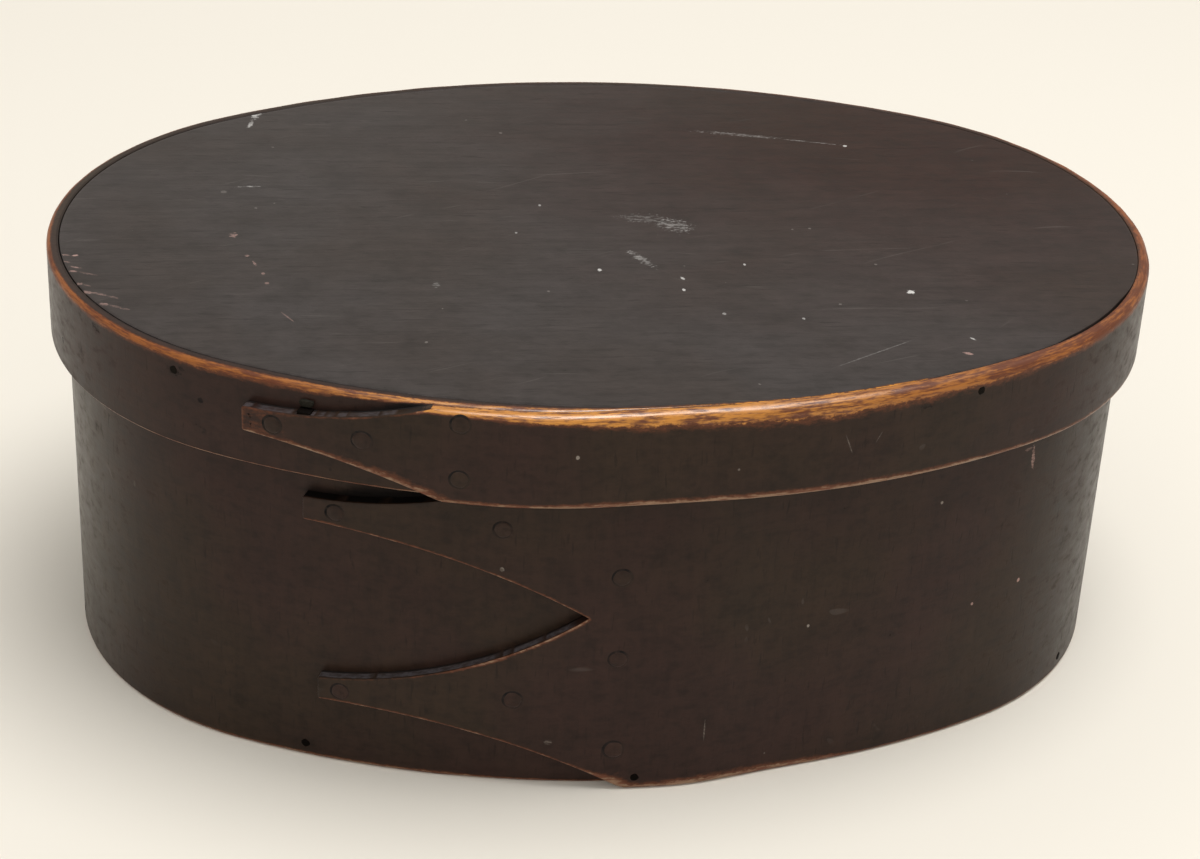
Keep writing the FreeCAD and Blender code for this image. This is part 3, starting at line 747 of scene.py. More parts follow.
def grain(vector, scale, detail=3.0, roughness=0.55, stretch=(1, 1, 1), distortion=0.0):
    """Noise on a vector that is stretched first."""
    mapped = put("ShaderNodeMapping", {"Vector": vector, "Scale": stretch}, vector_type="POINT")
    fill = {"Vector": mapped.outputs[0], "Scale": scale, "Detail": detail, "Roughness": roughness,
            "Distortion": distortion}
    return put("ShaderNodeTexNoise", fill).outputs[0]


def turned(vector, turn, **fill):
    """A vector turned about Z."""
    given = {"Vector": vector, "Angle": turn, **fill}
    return put("ShaderNodeVectorRotate", given, rotation_type="Z_AXIS").outputs[0]


def shared_group(name, inputs, outputs):
    """Builds a node group once. An input maps to its default, or to its kind of socket if it has none."""
    def wrap(build):
        def found():
            if name in bpy.data.node_groups:
                return bpy.data.node_groups[name]
            group = bpy.data.node_groups.new(name, "ShaderNodeTree")
            for label, default in inputs.items():
                plain = isinstance(default, str)
                kind = default if plain else VECTOR if isinstance(default, tuple) else VALUE
                socket = group.interface.new_socket(label, in_out="INPUT", socket_type=kind)
                if not plain:
                    socket.default_value = default
            for label, kind in outputs.items():
                group.interface.new_socket(label, in_out="OUTPUT", socket_type=kind)
            given = group.nodes.new("NodeGroupInput").outputs
            result = group.nodes.new("NodeGroupOutput").inputs
            for label, value in zip(outputs, build(given)):
                feed(result[label], value)
            return group
        return found
    return wrap


def use(group, **fill):
    """Places a shared group. Underscores in the names of its inputs stand for spaces."""
    fill = {name.replace("_", " "): value for name, value in fill.items()}
    return put("ShaderNodeGroup", fill, node_tree=group()).outputs


@shared_group(
    "old paint",
    {"Flow": VECTOR, "Colour": COLOUR, "Cool": COLOUR, "Flecks": 0.5, "Fleck Stretch": (1, 1, 0.2),
     "Streaks": 0.2, "Spots": 0.3},
    {"Colour": COLOUR, "Roughness": VALUE, "Height": VALUE})
def old_paint(given):
    """Old satin paint: slow changes of tint, lengthwise streaks and short dark flecks across the grain."""
    flow = given["Flow"]
    patches = ramp(grain(flow, 17, 3.0, 0.5), 0.36, 0.64)
    base = blend_colours(patches, given["Colour"], given["Cool"])
    streaks = grain(flow, 420, 4.0, 0.62, (0.07, 1, 1))
    mottle = grain(flow, 95, 5.0, 0.65)
    stretched = vector_maths("MULTIPLY", flow, given["Fleck Stretch"])
    brush = grain(stretched, 480, 3.0, 0.6)
    blots = grain(flow, 520, 3.0, 0.6, (0.6, 1, 1))
    light = multiply_add(centred(streaks), given["Streaks"], 1.0)
    for part, strength in ((brush, 0.55), (blots, 1.2), (mottle, 0.9)):
        light = multiply_add(centred(part), strength, light)
    flecks = ramp(grain(stretched, 1150, 1.0, 0.4), 0.60, 0.74)
    flecks = multiply(flecks, ramp(mottle, 0.40, 0.62, 0.15, 1.0))
    dark = multiply(flecks, given["Flecks"])
    dark = multiply_add(ramp(blots, 0.55, 0.72), given["Spots"], dark, clamp=True)
    shaded = vector_maths("SCALE", base, multiply(light, subtract(1.0, dark)))
    rough = multiply_add(dark, 0.25, multiply_add(blots, 0.34, 0.20))
    height = multiply_add(streaks, 0.8, multiply(grain(flow, 1500, 2.0, 0.5), 0.22))
    height = multiply_add(mottle, 0.9, height)
    return shaded, rough, multiply_add(dark, -0.5, height)


@shared_group(
    "bare wood",
    {"Flow": VECTOR, "Light": COLOUR, "Dark": COLOUR, "Fibre Scale": 1.0, "Mottle": 0.0},
    {"Colour": COLOUR, "Roughness": VALUE, "Height": VALUE})
def bare_wood(given):
    """Bare wood: fibres along the flow, slow bands of growth, and darker pores."""
    flow = vector_maths("SCALE", given["Flow"], given["Fibre Scale"])
    fibres = grain(flow, 1300, 4.0, 0.7, (0.045, 1, 1))
    growth = grain(flow, 130, 3.0, 0.5, (0.05, 1, 1), 0.6)
    pores = ramp(grain(flow, 2300, 1.0, 0.5, (0.09, 1, 1)), 0.62, 0.72)
    blotches = grain(flow, 260, 4.0, 0.7, (0.35, 1, 1))
    speckle = grain(flow, 1500, 3.0, 0.65, (0.18, 1, 1))
    share = multiply_add(fibres, 0.75, multiply(growth, 0.45))
    share = multiply_add(add(centred(blotches), centred(speckle)), given["Mottle"], share)
    share = ramp(share, 0.40, 0.78)
    colour = blend_colours(share, given["Dark"], given["Light"])
    colour = blend_colours(multiply(pores, 0.6), colour, given["Dark"])
    return colour, multiply_add(share, -0.12, 0.52), subtract(fibres, multiply(pores, 0.5))


@shared_group(
    "edge wear",
    {"Edge": 0.0, "Flow": VECTOR, "Raggedness": 0.8},
    {"Bare": VALUE, "Rubbed": VALUE})
def edge_worn(given):
    """Where handling has rubbed the paint off an edge. Edge is 1 on the edge and 0 where the wear stops."""
    coarse = grain(given["Flow"], 420, 4.0, 0.65, (0.4, 1, 1))
    fine = grain(given["Flow"], 1700, 3.0, 0.65, (0.5, 1, 1))
    spread = multiply_add(centred(fine), 1.5, multiply(centred(coarse), 1.5))
    reach = multiply_add(spread, given["Raggedness"], given["Edge"])
    return ramp(reach, 0.02, 0.3), ramp(reach, -0.45, 0.12)


@shared_group(
    "specks",
    {"Flow": VECTOR, "Scale": 60.0, "Size": 0.02, "Share": 0.2},
    {"Mask": VALUE})
def specks(given):
    """Scattered pale specks of dust and spatter."""
    wobble = put("ShaderNodeTexNoise", {"Vector": given["Flow"], "Scale": 2200.0, "Detail": 1.0})
    moved = vector_maths("SCALE", wobble.outputs["Color"], 0.0006)
    place = vector_maths("ADD", given["Flow"], moved)
    cells = put("ShaderNodeTexVoronoi", {"Vector": place, "Scale": given["Scale"]}).outputs
    draw, size, strength = put("ShaderNodeSeparateColor", {0: cells["Color"]}).outputs
    chosen = less_than(draw, given["Share"])
    near = less_than(cells["Distance"], multiply(given["Size"], size))
    return [multiply(multiply(chosen, near), multiply_add(strength, 0.7, 0.3))]


@shared_group(
    "scratches",
    {"Flow": VECTOR, "Turn": 0.0, "Amount": 0.5},
    {"Mask": VALUE})
def scratches(given):
    """Fine hairline scratches that run roughly one way and come and go."""
    straight = turned(given["Flow"], given["Turn"])
    bend = put("ShaderNodeCombineXYZ", {1: multiply(grain(straight, 14, 1.0), 0.03)}).outputs[0]
    placed = vector_maths("ADD", straight, bend)
    lines = grain(placed, 1500, 0.0, 0.5, (0.012, 1, 0.2))
    gates = grain(placed, 85, 2.0, 0.6, (0.5, 1, 1))
    mask = multiply(ramp(lines, 0.765, 0.80), ramp(gates, 0.56, 0.66))
    return [multiply(mask, given["Amount"])]


@shared_group(
    "dab",
    {"Flow": VECTOR, "Centre": VECTOR, "Turn": 0.0, "Half Size": (1, 1, 1), "Rough": 0.5, "Crumbs": 1.0,
     "Ragged": 0.5, "Broken": 0.0, "Strength": 1.0},
    {"Mask": VALUE})
def dab(given):
    """One mark of a given place, turn and size, with a ragged outline and breaks."""
    placed = turned(given["Flow"], given["Turn"], Center=given["Centre"])
    scaled = vector_maths("DIVIDE", vector_maths("SUBTRACT", placed, given["Centre"]), given["Half Size"])
    ragged = multiply_add(centred(given["Rough"]), given["Ragged"], vector_maths("LENGTH", scaled))
    left = multiply_add(subtract(given["Crumbs"], 1.0), given["Broken"], 1.0)
    return [multiply(multiply(ramp(ragged, 1.0, 0.6), left), given["Strength"])]


# ---------------------------------------------------------------- marks
# Each mark is (centre in millimetres, turn in degrees, half sizes in millimetres, raggedness, breaks,
# strength). On the lid's board centres are in plan; on a band they are travel along the strip and height.

LID_MARKS = [
    ((-3.5, -22.0), 0, (0.55, 0.75), 0.9, 0.2, 0.75),
    ((14.0, -26.5), 20, (0.45, 0.9), 0.9, 0.3, 0.6),
    ((13.5, -32.0), 0, (0.45, 0.7), 0.8, 0.2, 0.7),
    ((28.5, -20.0), 0, (0.35, 0.55), 0.8, 0.2, 0.6),
    ((62.5, -34.0), 0, (1.0, 1.0), 2.0, 0.3, 1.0),
    ((71.0, -56.0), 35, (0.35, 0.9), 0.9, 0.3, 0.6),
    ((63.0, 44.5), 0, (0.6, 0.6), 0.8, 0.2, 0.7),
    ((38.0, 51.5), -13, (11.0, 0.95), 2.6, 1.0, 0.22),
    ((55.0, 47.0), -15, (8.0, 0.35), 1.8, 0.9, 0.22),
    ((-77.0, 66.0), 78, (5.0, 1.1), 2.2, 0.7, 0.75),
    ((-78.6, 58.5), 74, (2.4, 0.6), 1.8, 0.6, 0.6),
    ((-79.0, 22.5), 3, (3.4, 0.4), 1.6, 0.9, 0.40),
    ((15.5, 0.5), -30, (4.6, 3.2), 3.0, 1.0, 0.26),
    ((9.5, 4.0), -10, (6.0, 2.5), 3.0, 1.0, 0.12),
    ((6.0, -16.5), -60, (5.0, 1.2), 3.0, 1.0, 0.30),
    ((-13.5, 11.5), 0, (0.35, 0.6), 0.8, 0.2, 0.45),
    ((-39.0, -28.5), 0, (1.0, 1.3), 2.0, 1.0, 0.35),
    ((20.5, -43.5), 0, (0.5, 0.6), 1.6, 0.4, 0.4),
    ((37.0, -46.0), 0, (0.4, 0.6), 1.2, 0.4, 0.45),
    ((-20.0, -3.0), 0, (0.35, 0.5), 1.0, 0.4, 0.35),
    ((49.0, -62.0), 32, (12.0, 0.22), 0.8, 0.6, 0.16),
]
PINK_MARKS = [
    ((-82.0, -3.0), 0, (1.1, 1.5), 2.2, 0.9, 0.45),
    ((-79.0, -13.6), 0, (0.6, 0.5), 1.4, 0.6, 0.45),
    ((-77.4, -17.5), -72, (1.6, 0.35), 1.6, 0.8, 0.40),
    ((-75.6, -22.5), 0, (0.5, 0.7), 1.4, 0.6, 0.40),
    ((-74.8, -27.0), 0, (0.6, 0.6), 1.2, 0.5, 0.45),
    ((68.5, -62.5), -25, (1.3, 0.6), 1.1, 0.3, 0.6),
    ((-117.6, -12.6), -12, (1.1, 0.35), 2.0, 0.6, 0.65),
    ((-115.6, -12.9), 5, (0.8, 0.5), 1.6, 0.5, 0.75),
    ((-117.0, -16.0), -25, (1.0, 0.25), 1.8, 0.5, 0.50),
    ((-115.2, -18.6), -20, (1.6, 0.35), 1.8, 0.6, 0.45),
    ((-115.4, -20.6), -15, (1.2, 0.5), 1.6, 0.6, 0.55),
    ((-112.6, -21.6), -25, (2.4, 0.45), 2.0, 0.8, 0.30),
    ((-113.8, -26.6), 0, (0.8, 0.6), 1.8, 0.6, 0.55),
    ((-112.2, -27.4), -30, (1.2, 0.25), 1.6, 0.5, 0.35),
    ((-111.8, -30.6), -20, (1.2, 0.7), 2.0, 0.7, 0.50),
    ((-109.6, -31.4), -28, (1.8, 0.5), 2.0, 0.7, 0.42),
    ((-106.8, -32.8), -30, (1.8, 0.35), 2.0, 0.7, 0.28),
    ((-108.2, -36.2), -15, (1.2, 0.7), 2.0, 0.7, 0.50),
    ((-106.0, -37.2), -30, (1.6, 0.5), 2.0, 0.7, 0.40),
    ((-103.6, -38.6), -20, (1.4, 0.35), 2.0, 0.7, 0.35),
    ((-70.5, -43.0), -60, (3.2, 0.22), 1.0, 0.4, 0.30),
]
LID_SIDE_DARK = [
    ((99.4, 91.0), 10, (2.2, 1.0), 2.2, 0.6, 0.8),
    ((97.2, 92.0), 0, (0.9, 0.6), 1.6, 0.5, 0.7),
    ((607.0, 90.6), 0, (2.0, 0.9), 2.4, 0.8, 0.7),
    ((92.7, 86.1), 0, (0.8, 0.8), 0.9, 0.2, 0.95),
    ((123.0, 92.0), 0, (1.6, 1.2), 2.4, 0.9, 0.7),
    ((141.0, 81.0), 0, (0.8, 0.8), 1.6, 0.7, 0.6),
    ((92.0, 79.0), 0, (0.7, 1.0), 1.4, 0.7, 0.5),
    ((64.0, 76.9), 0, (0.4, 0.5), 0.8, 0.3, 0.5),
]
LID_SIDE_PALE = [
    ((679.9, 86.2), 0, (0.45, 0.55), 0.8, 0.2, 0.8),
    ((624.1, 84.6), 68, (2.6, 0.16), 0.7, 0.6, 0.35),
    ((617.5, 85.3), -60, (1.6, 0.14), 0.7, 0.6, 0.25),
    ((647.3, 81.5), 0, (0.3, 0.3), 0.8, 0.2, 0.4),
]
BOX_SIDE_PALE = [
    ((593.2, 36.5), 0, (0.35, 0.45), 0.8, 0.2, 0.8),
    ((563.8, 61.2), 0, (0.40, 0.45), 0.8, 0.2, 0.7),
    ((658.9, 55.1), 0, (0.55, 0.55), 1.4, 0.6, 0.5),
    ((615.2, 14.0), 90, (3.2, 0.18), 1.0, 0.6, 0.40),
    ((127.0, 70.0), 13, (7.0, 0.16), 0.8, 0.5, 0.45),
    ((122.0, 72.6), 13, (4.0, 0.14), 0.8, 0.5, 0.35),
    ((648.2, 12.5), 0, (0.9, 0.7), 1.8, 0.9, 0.3),
]
BOX_SIDE_PINK = [
    ((552.1, 32.6), 0, (0.40, 0.45), 0.8, 0.2, 0.7),
    ((539.0, 34.6), 0, (0.50, 0.60), 0.8, 0.2, 0.8),
    ((539.7, 66.0), 85, (3.2, 0.55), 1.8, 0.6, 0.55),
    ((541.5, 68.5), 0, (1.4, 0.4), 1.8, 0.8, 0.4),
]


# ---------------------------------------------------------------- materials

MARK_HALF_DEPTH = 0.004


def laid_marks(flow, colour, layers, level):
    """Lays marks over a colour. Each layer is a list of marks and their colour."""
    rough = grain(flow, 1400, 3.0, 0.7)
    crumbs = ramp(grain(flow, 1900, 2.0, 0.7, (0.3, 1, 1)), 0.42, 0.62)
    covered = None
    for marks, mark_colour in layers:
        total = None
        for (x, y), turn, (half_length, half_width), ragged, broken, strength in marks:
            half_size = (half_length * MM, half_width * MM, MARK_HALF_DEPTH)
            mask = use(dab, Flow=flow, Centre=(x * MM, y * MM, level), Turn=-math.radians(turn),
                       Half_Size=half_size, Rough=rough, Crumbs=crumbs, Ragged=ragged, Broken=broken,
                       Strength=strength)["Mask"]
            total = mask if total is None else maximum(total, mask)
        colour = blend_colours(total, colour, mark_colour)
        covered = total if covered is None else maximum(covered, total)
    return colour, covered


def attribute(tree, name, output="Fac"):
    """A value that the builders left on each vertex."""
    node = put("ShaderNodeAttribute", {}, tree, attribute_name=name, attribute_type="GEOMETRY")
    return node.outputs[output]


def object_flow(tree):
    """Places on a piece, in the frame."""
    return put("ShaderNodeTexCoord", {}, tree).outputs["Object"]


def new_material(name):
    """A material, its tree and its shader."""
    material = bpy.data.materials.new(name)
    material.use_nodes = True
    tree = material.node_tree
    return material, tree, tree.nodes["Principled BSDF"]


def dress(shader, colour, rough, specular, height, depth):
    """Feeds a shader its colour, roughness, specular level and a bump of some depth."""
    bump = put("ShaderNodeBump", {"Height": height, "Strength": 1.0, "Distance": depth})
    feed(shader.inputs["Base Color"], colour)
    feed(shader.inputs["Roughness"], rough)
    feed(shader.inputs["Specular IOR Level"], specular)
    feed(shader.inputs["Normal"], bump.outputs[0])


def aged_inside(flow, fibre_scale):
    """The bare wood that was never painted."""
    return use(bare_wood, Flow=flow, Light=finish().inside, Dark=finish().inside_dark,
               Fibre_Scale=fibre_scale)


PAINT_SHINE = 0.17
PAINT_BUMP = 0.00006

# Travel in metres over which the painted reflection at a band's left end comes, and over which it goes.
REFLECTION_COMES = (0.105, 0.155)
REFLECTION_GOES = (0.25, 0.19)

# Offset and scale that measure how far a place on the lid is from its warmest part, where the least painted
# reflection lies.
FROM_WARM = (-0.085, -0.045, -0.0952)
WARM_SCALE = (8.0, 9.0, 1.0)


def band_material(name, layers, side_reflection_share):
    """Painted outside, bare inside, rubbed through at the edges, with a pale painted reflection at the left
    end, painted shade and sheen by the fingers, and marks.
    """
    material, tree, shader = new_material(name)
    colours = finish()
    flow = attribute(tree, "flow", "Vector")
    travel, depth, height = put("ShaderNodeSeparateXYZ", {0: flow}).outputs
    # A pale painted reflection lightens the paint over the band's left end.
    painted_reflection = multiply(ramp(travel, *REFLECTION_COMES, 0.0, side_reflection_share), ramp(travel, *REFLECTION_GOES))
    warm = blend_colours(painted_reflection, colours.paint, colours.painted_side_reflection)
    cool = blend_colours(painted_reflection, colours.paint_cool, colours.painted_side_reflection)
    paint = use(old_paint, Flow=flow, Colour=warm, Cool=cool, Flecks=0.35, Fleck_Stretch=(1.0, 1.0, 0.16),
                Streaks=0.35, Spots=0.22)
    ageing = attribute(tree, "ageing")
    light = blend_colours(maximum(ageing, 0.0), colours.worn, colours.worn_aged)
    light = blend_colours(multiply(ageing, -1.0, clamp=True), light, colours.worn_dull)
    bare = use(bare_wood, Flow=flow, Light=light, Dark=colours.worn_dark, Mottle=1.15)
    inner = aged_inside(flow, 0.6)
    wear = use(edge_worn, Edge=attribute(tree, "edge"), Flow=flow, Raggedness=0.58)
    # Painted shade from the vertex values above zero: near black above the fingers and in the board's
    # groove.
    painted_shade = multiply(attribute(tree, "painted_shade"), 0.95, clamp=True)
    # The pale painted sheen on the fingers' up-facing edges, from vertex values below zero.
    dusty = multiply(attribute(tree, "painted_shade"), -0.9, clamp=True)
    dusty = multiply(dusty, ramp(grain(flow, 1100, 4.0, 0.7, (0.5, 1, 1)), 0.36, 0.62, 0.25, 1.0))
    dust = multiply(use(specks, Flow=flow, Scale=75.0, Size=0.075, Share=0.12)["Mask"], 0.35)
    dust = maximum(dust, use(scratches, Flow=flow, Turn=0.05, Amount=0.05)["Mask"])
    colour = blend_colours(dust, paint["Colour"], colours.dust)
    upright = put("ShaderNodeCombineXYZ", {0: travel, 1: height, 2: depth}).outputs[0]
    colour, marks = laid_marks(upright, colour, layers, sizes().band)
    # Lays the painted shade, then the pale painted sheen.
    colour = blend_colours(painted_shade, colour, colours.painted_shade)
    colour = blend_colours(dusty, colour, colours.paint_dusty)
    colour = blend_colours(wear["Rubbed"], colour, colours.rubbed)
    colour = blend_colours(wear["Bare"], colour, bare["Colour"])
    bare_inside = ramp(attribute(tree, "inside"), 0.35, 0.65)
    colour = blend_colours(bare_inside, colour, inner["Colour"])
    rough = blend_values(wear["Bare"], paint["Roughness"], bare["Roughness"])
    rough = blend_values(bare_inside, rough, inner["Roughness"])
    rough = multiply_add(maximum(marks, painted_shade), 0.45, rough)
    polish = multiply(wear["Bare"], ramp(bare["Height"], 0.25, 0.6, 0.12, 0.55))
    polish = multiply(polish, ramp(ageing, 0.2, 0.9, 1.0, 0.35))
    feed(shader.inputs["Coat Weight"], polish)
    feed(shader.inputs["Coat Roughness"], 0.3)
    relief = multiply_add(wear["Bare"], -1.2, paint["Height"])
    relief = multiply_add(bare["Height"], multiply(wear["Bare"], 1.3), relief)
    dress(shader, colour, rough, PAINT_SHINE, relief, PAINT_BUMP)
    return material


def lid_board_material():
    """The lid's board: streaked paint above with specks and scuffs, a grey painted reflection towards the
    front and left, bare wood below.
    """
    material, tree, shader = new_material("painted board")
    colours = finish()
    flow = object_flow(tree)
    # A grey painted reflection lightens the lid's top away from its warmest part.
    far = vector_maths("MULTIPLY", vector_maths("ADD", flow, FROM_WARM), WARM_SCALE)
    far = vector_maths("LENGTH", far)
    cloud = grain(flow, 26, 4.0, 0.6, (0.6, 1, 1))
    reflection_share = ramp(multiply_add(centred(cloud), 0.6, far), 0.1, 1.25)
    base = blend_colours(reflection_share, colours.paint, colours.painted_top_reflection)
    cool = blend_colours(0.35, base, colours.paint_cool)
    paint = use(old_paint, Flow=flow, Colour=base, Cool=cool, Flecks=0.25, Fleck_Stretch=(0.12, 1.0, 1.0),
                Streaks=0.3, Spots=0.15)
    bare = use(bare_wood, Flow=flow, Light=colours.worn, Dark=colours.worn_dark)
    inner = aged_inside(flow, 0.5)
    wear = use(edge_worn, Edge=attribute(tree, "edge"), Flow=flow, Raggedness=0.8)
    coarse = multiply(use(specks, Flow=flow, Scale=95.0, Size=0.075, Share=0.10)["Mask"], 0.4)
    fine = multiply(use(specks, Flow=flow, Scale=260.0, Size=0.12, Share=0.09)["Mask"], 0.24)
    along = use(scratches, Flow=flow, Turn=0.03, Amount=0.07)["Mask"]
    across = use(scratches, Flow=flow, Turn=-0.42, Amount=0.05)["Mask"]
    pale = maximum(maximum(coarse, fine), maximum(along, across))
    colour = blend_colours(pale, paint["Colour"], colours.dust)
    layers = [(LID_MARKS, colours.scuff), (PINK_MARKS, colours.mark_pink)]
    colour, marks = laid_marks(flow, colour, layers, LID_HIGH.z)
    colour = blend_colours(wear["Rubbed"], colour, colours.rubbed)
    colour = blend_colours(wear["Bare"], colour, bare["Colour"])
    bare_inside = ramp(attribute(tree, "inside"), 0.35, 0.65)
    colour = blend_colours(bare_inside, colour, inner["Colour"])
    rough = blend_values(bare_inside, paint["Roughness"], inner["Roughness"])
    rough = multiply_add(marks, 0.3, rough)
    rough = multiply_add(subtract(1.0, reflection_share), 0.22, rough)
    dress(shader, colour, rough, PAINT_SHINE, multiply_add(pale, -0.5, paint["Height"]), PAINT_BUMP)
    return material


def bottom_board_material():
    """Bare aged wood with soft stains."""
    material, tree, shader = new_material("bare board")
    flow = object_flow(tree)
    inner = aged_inside(flow, 0.5)
    stains = ramp(grain(flow, 30, 4.0, 0.6), 0.52, 0.72, 0.0, 0.4)
    colour = blend_colours(stains, inner["Colour"], finish().worn_dark)
    spatter = multiply(use(specks, Flow=flow, Scale=120.0, Size=0.09, Share=0.08)["Mask"], 0.6)
    colour = blend_colours(spatter, colour, finish().paint)
    dress(shader, colour, inner["Roughness"], 0.3, inner["Height"], 0.00008)
    return material


def tack_material():
    """Small iron heads under the same old paint, with painted shade round each head, darkest towards the
    upper left, and bare clinched tails.
    """
    material, tree, shader = new_material("painted tack")
    flow = object_flow(tree)
    paint = use(old_paint, Flow=flow, Colour=finish().paint, Cool=finish().paint_cool, Flecks=0.3,
                Streaks=0.5)
    painted_seat_shade = attribute(tree, "painted_seat_shade")
    tone = multiply_add(attribute(tree, "tone"), 0.45, 1.08)
    rust = grain(flow, 900, 3.0, 0.6)
    iron = blend_colours(ramp(rust, 0.4, 0.62), (0.045, 0.036, 0.030), (0.085, 0.036, 0.017))
    # Near black painted shade round the head, stronger towards the upper left.
    colour = blend_colours(painted_seat_shade, vector_maths("SCALE", paint["Colour"], tone), (0.003, 0.0025, 0.002))
    colour = blend_colours(attribute(tree, "tail"), colour, iron)
    rough = multiply_add(painted_seat_shade, 0.4, paint["Roughness"])
    dress(shader, colour, rough, PAINT_SHINE, add(rust, paint["Height"]), 0.00008)
    return material


def peg_material():
    """End grain gone nearly black, dirty and painted over; paler where a peg stands out. The same near black
    colours the block painted as the loose peg's shadow.
    """
    material, tree, shader = new_material("worn peg")
    fibres = grain(object_flow(tree), 2600, 3.0, 0.6)
    dark = blend_colours(fibres, (0.0015, 0.0012, 0.001), (0.006, 0.004, 0.003))
    pale = blend_colours(fibres, (0.009, 0.008, 0.006), (0.028, 0.025, 0.019))
    colour = blend_colours(attribute(tree, "pale"), dark, pale)
    dress(shader, colour, multiply_add(fibres, 0.2, 0.5), 0.02, fibres, 0.0001)
    return material


# ---------------------------------------------------------------- bands

def box_wear(band):
    """Thin wear along the box's foot, wider under the fingers. Keys are (travel, millimetres)."""
    start, length = band.start, band.oval.length

    def finger(left, height, side):
        """Reach and strength of the wear along a finger's edge."""
        if side == "tip":
            return 0.6, 0.0
        if side == "upper":
            return 0.8, -0.3 if height > 60 else 0.1 + 0.5 * ease((48 - left) / 20)
        root = ease((14 - left) / 14) * ease((9 - height) / 6)
        return 0.8 + 1.3 * root, 0.38 + 0.5 * root

    def shadow(left, height):
        """Width of the painted shade above a finger, and how dark the painted shade on the finger's upper
        edge is.
        """
        # Under the lid's edge the box's upper finger gets full painted shade, standing for the lid's shadow.
        if height > 62:
            return 0.6 + 1.6 * ease((64 - left) / 8), 1.0
        root = ease((16 - left) / 12)
        return 0.36 + 1.0 * root, 0.6 * root

    return SimpleNamespace(
        face=[(start, 0.4), (length, 0.5)],
        top=[(start, 0.9), (length, 0.9)],
        foot=[(start, 0.7), (10, 0.7), (40, 1.0), (95, 0.8), (120, 0.5), (length / 2, 0.6),
              (length - 90, 0.8), (length - 55, 0.8), (length - 42, 1.6), (length - 22, 2.1),
              (length - 2, 1.7), (length + 1, 1.0)],
        foot_peak=0.9,
        rim_round=[(start, 0.5), (length, 0.5)],
        foot_round=[(start, 0.9), (95, 0.9), (150, 0.6), (length / 2, 0.6), (length - 40, 0.9),
                    (length, 1.1)],
        ageing=[(start, -0.8), (length, -0.8)],
        finger=finger,
        shadow=shadow,
        # A value below zero that paints the pale sheen of light from above on the fingers' upper edges.
        dusty=-1.0,
        handled=lambda left: -1.0,
    )


def lid_wear(band):
    """The lid is rubbed most where hands lift it: along the rim at the front and right."""
    start, length = band.start, band.oval.length

    def finger(left, height, side):
        """Reach and strength of the wear along a finger's edge."""
        if side == "upper":
            return 0.9, 0.12 + 0.35 * ease((50 - left) / 8)
        if side == "tip":
            return 1.2, 0.3
        return 1.2 + 1.4 * ease((74 - left) / 32), 0.42

    def shadow(left, height):
        """Width of the painted shade above a finger, and how dark the painted shade on the finger's upper
        edge is.
        """
        return 0.45 + 0.8 * ease((58 - left) / 12), 0.8 * ease((52 - left) / 8)

    return SimpleNamespace(
        face=[(start, 0.6), (40, 1.1), (58, 1.0), (68, 1.5), (79, 1.6), (120, 1.5), (166, 1.2), (250, 0.8),
              (333, 0.8), (420, 0.9), (499, 1.5), (560, 2.1), (length - 61, 3.1), (length - 30, 3.6),
              (length, 3.0), (length + 20, 1.7), (length + 42, 0.9)],
        top=[(start, 1.6), (10, 1.3), (40, 1.1), (79, 0.9), (120, 0.8), (166, 0.8), (250, 0.8), (333, 0.9),
             (420, 1.3), (499, 2.2), (560, 3.0), (length - 61, 3.6), (length, 3.4), (length + 42, 2.4)],
        foot=[(start, 0.4), (40, 0.45), (166, 0.3), (333, 0.35), (499, 0.5), (560, 1.0), (length - 40, 1.5),
              (length, 1.4), (length + 30, 1.0), (length + 42, 1.1)],
        foot_peak=0.72,
        rim_round=[(start, 0.7), (40, 1.2), (79, 1.3), (166, 1.1), (333, 1.1), (499, 1.6),
                   (length - 61, 2.1), (length - 20, 2.2), (length + 20, 1.7), (length + 42, 1.1)],
        foot_round=[(start, 0.4), (length, 0.5)],
        ageing=[(start, 0.1), (40, 0.2), (79, 0.75), (120, 0.85), (166, 0.9), (333, 0.9), (499, 0.95),
                (560, 0.8), (length - 61, 0.6), (length - 30, 0.25), (length, 0.05), (length + 40, 0.15)],
        finger=finger,
        shadow=shadow,
        # A value below zero that paints the pale sheen of light from above on the finger's upper edge.
        dusty=-0.65,
        handled=lambda left: -0.75 + 0.5 * ease((left - 66) / 12),
    )


def build_band(band, wear, material):
    """Cuts a flat strip with fingers, bends it, and lets its large faces shade their small neighbours."""
    bm, drawn = flat_strip(band)
    cut_strip(bm, band)
    bend_strip(bm, band, wear, FingerEdge(drawn))
    bmesh.ops.recalc_face_normals(bm, faces=bm.faces)
    piece = finished(f"bent_{band.name}_band", bm, material, band.name, [f"{band.name}_band"])
    modifier = piece.modifiers.new("weighted normals", "WEIGHTED_NORMAL")
    modifier.keep_sharp = True
    modifier.weight = 50


class OVALBOX_OT_box_band(bpy.types.Operator):
    """Bends the box's band, with its two fingers over its thinned inner end"""

    bl_idname = "ovalbox.box_band"
    bl_label = "Box band"

    def execute(self, context):
        band = Band("box")
        layers = [(BOX_SIDE_PALE, finish().mark_pale), (BOX_SIDE_PINK, finish().mark_pink)]
        build_band(band, box_wear(band), band_material("painted band", layers, 0.85))
        return {"FINISHED"}


class OVALBOX_OT_lid_band(bpy.types.Operator):
    """Bends the lid's shallow band, with one finger and a rim rounded by handling"""

    bl_idname = "ovalbox.lid_band"
    bl_label = "Lid band"

    def execute(self, context):
        band = Band("lid")
        layers = [(LID_SIDE_DARK, finish().mark_dark), (LID_SIDE_PALE, finish().mark_pale)]
        build_band(band, lid_wear(band), band_material("painted lid band", layers, 0.1))
        return {"FINISHED"}


# ---------------------------------------------------------------- boards

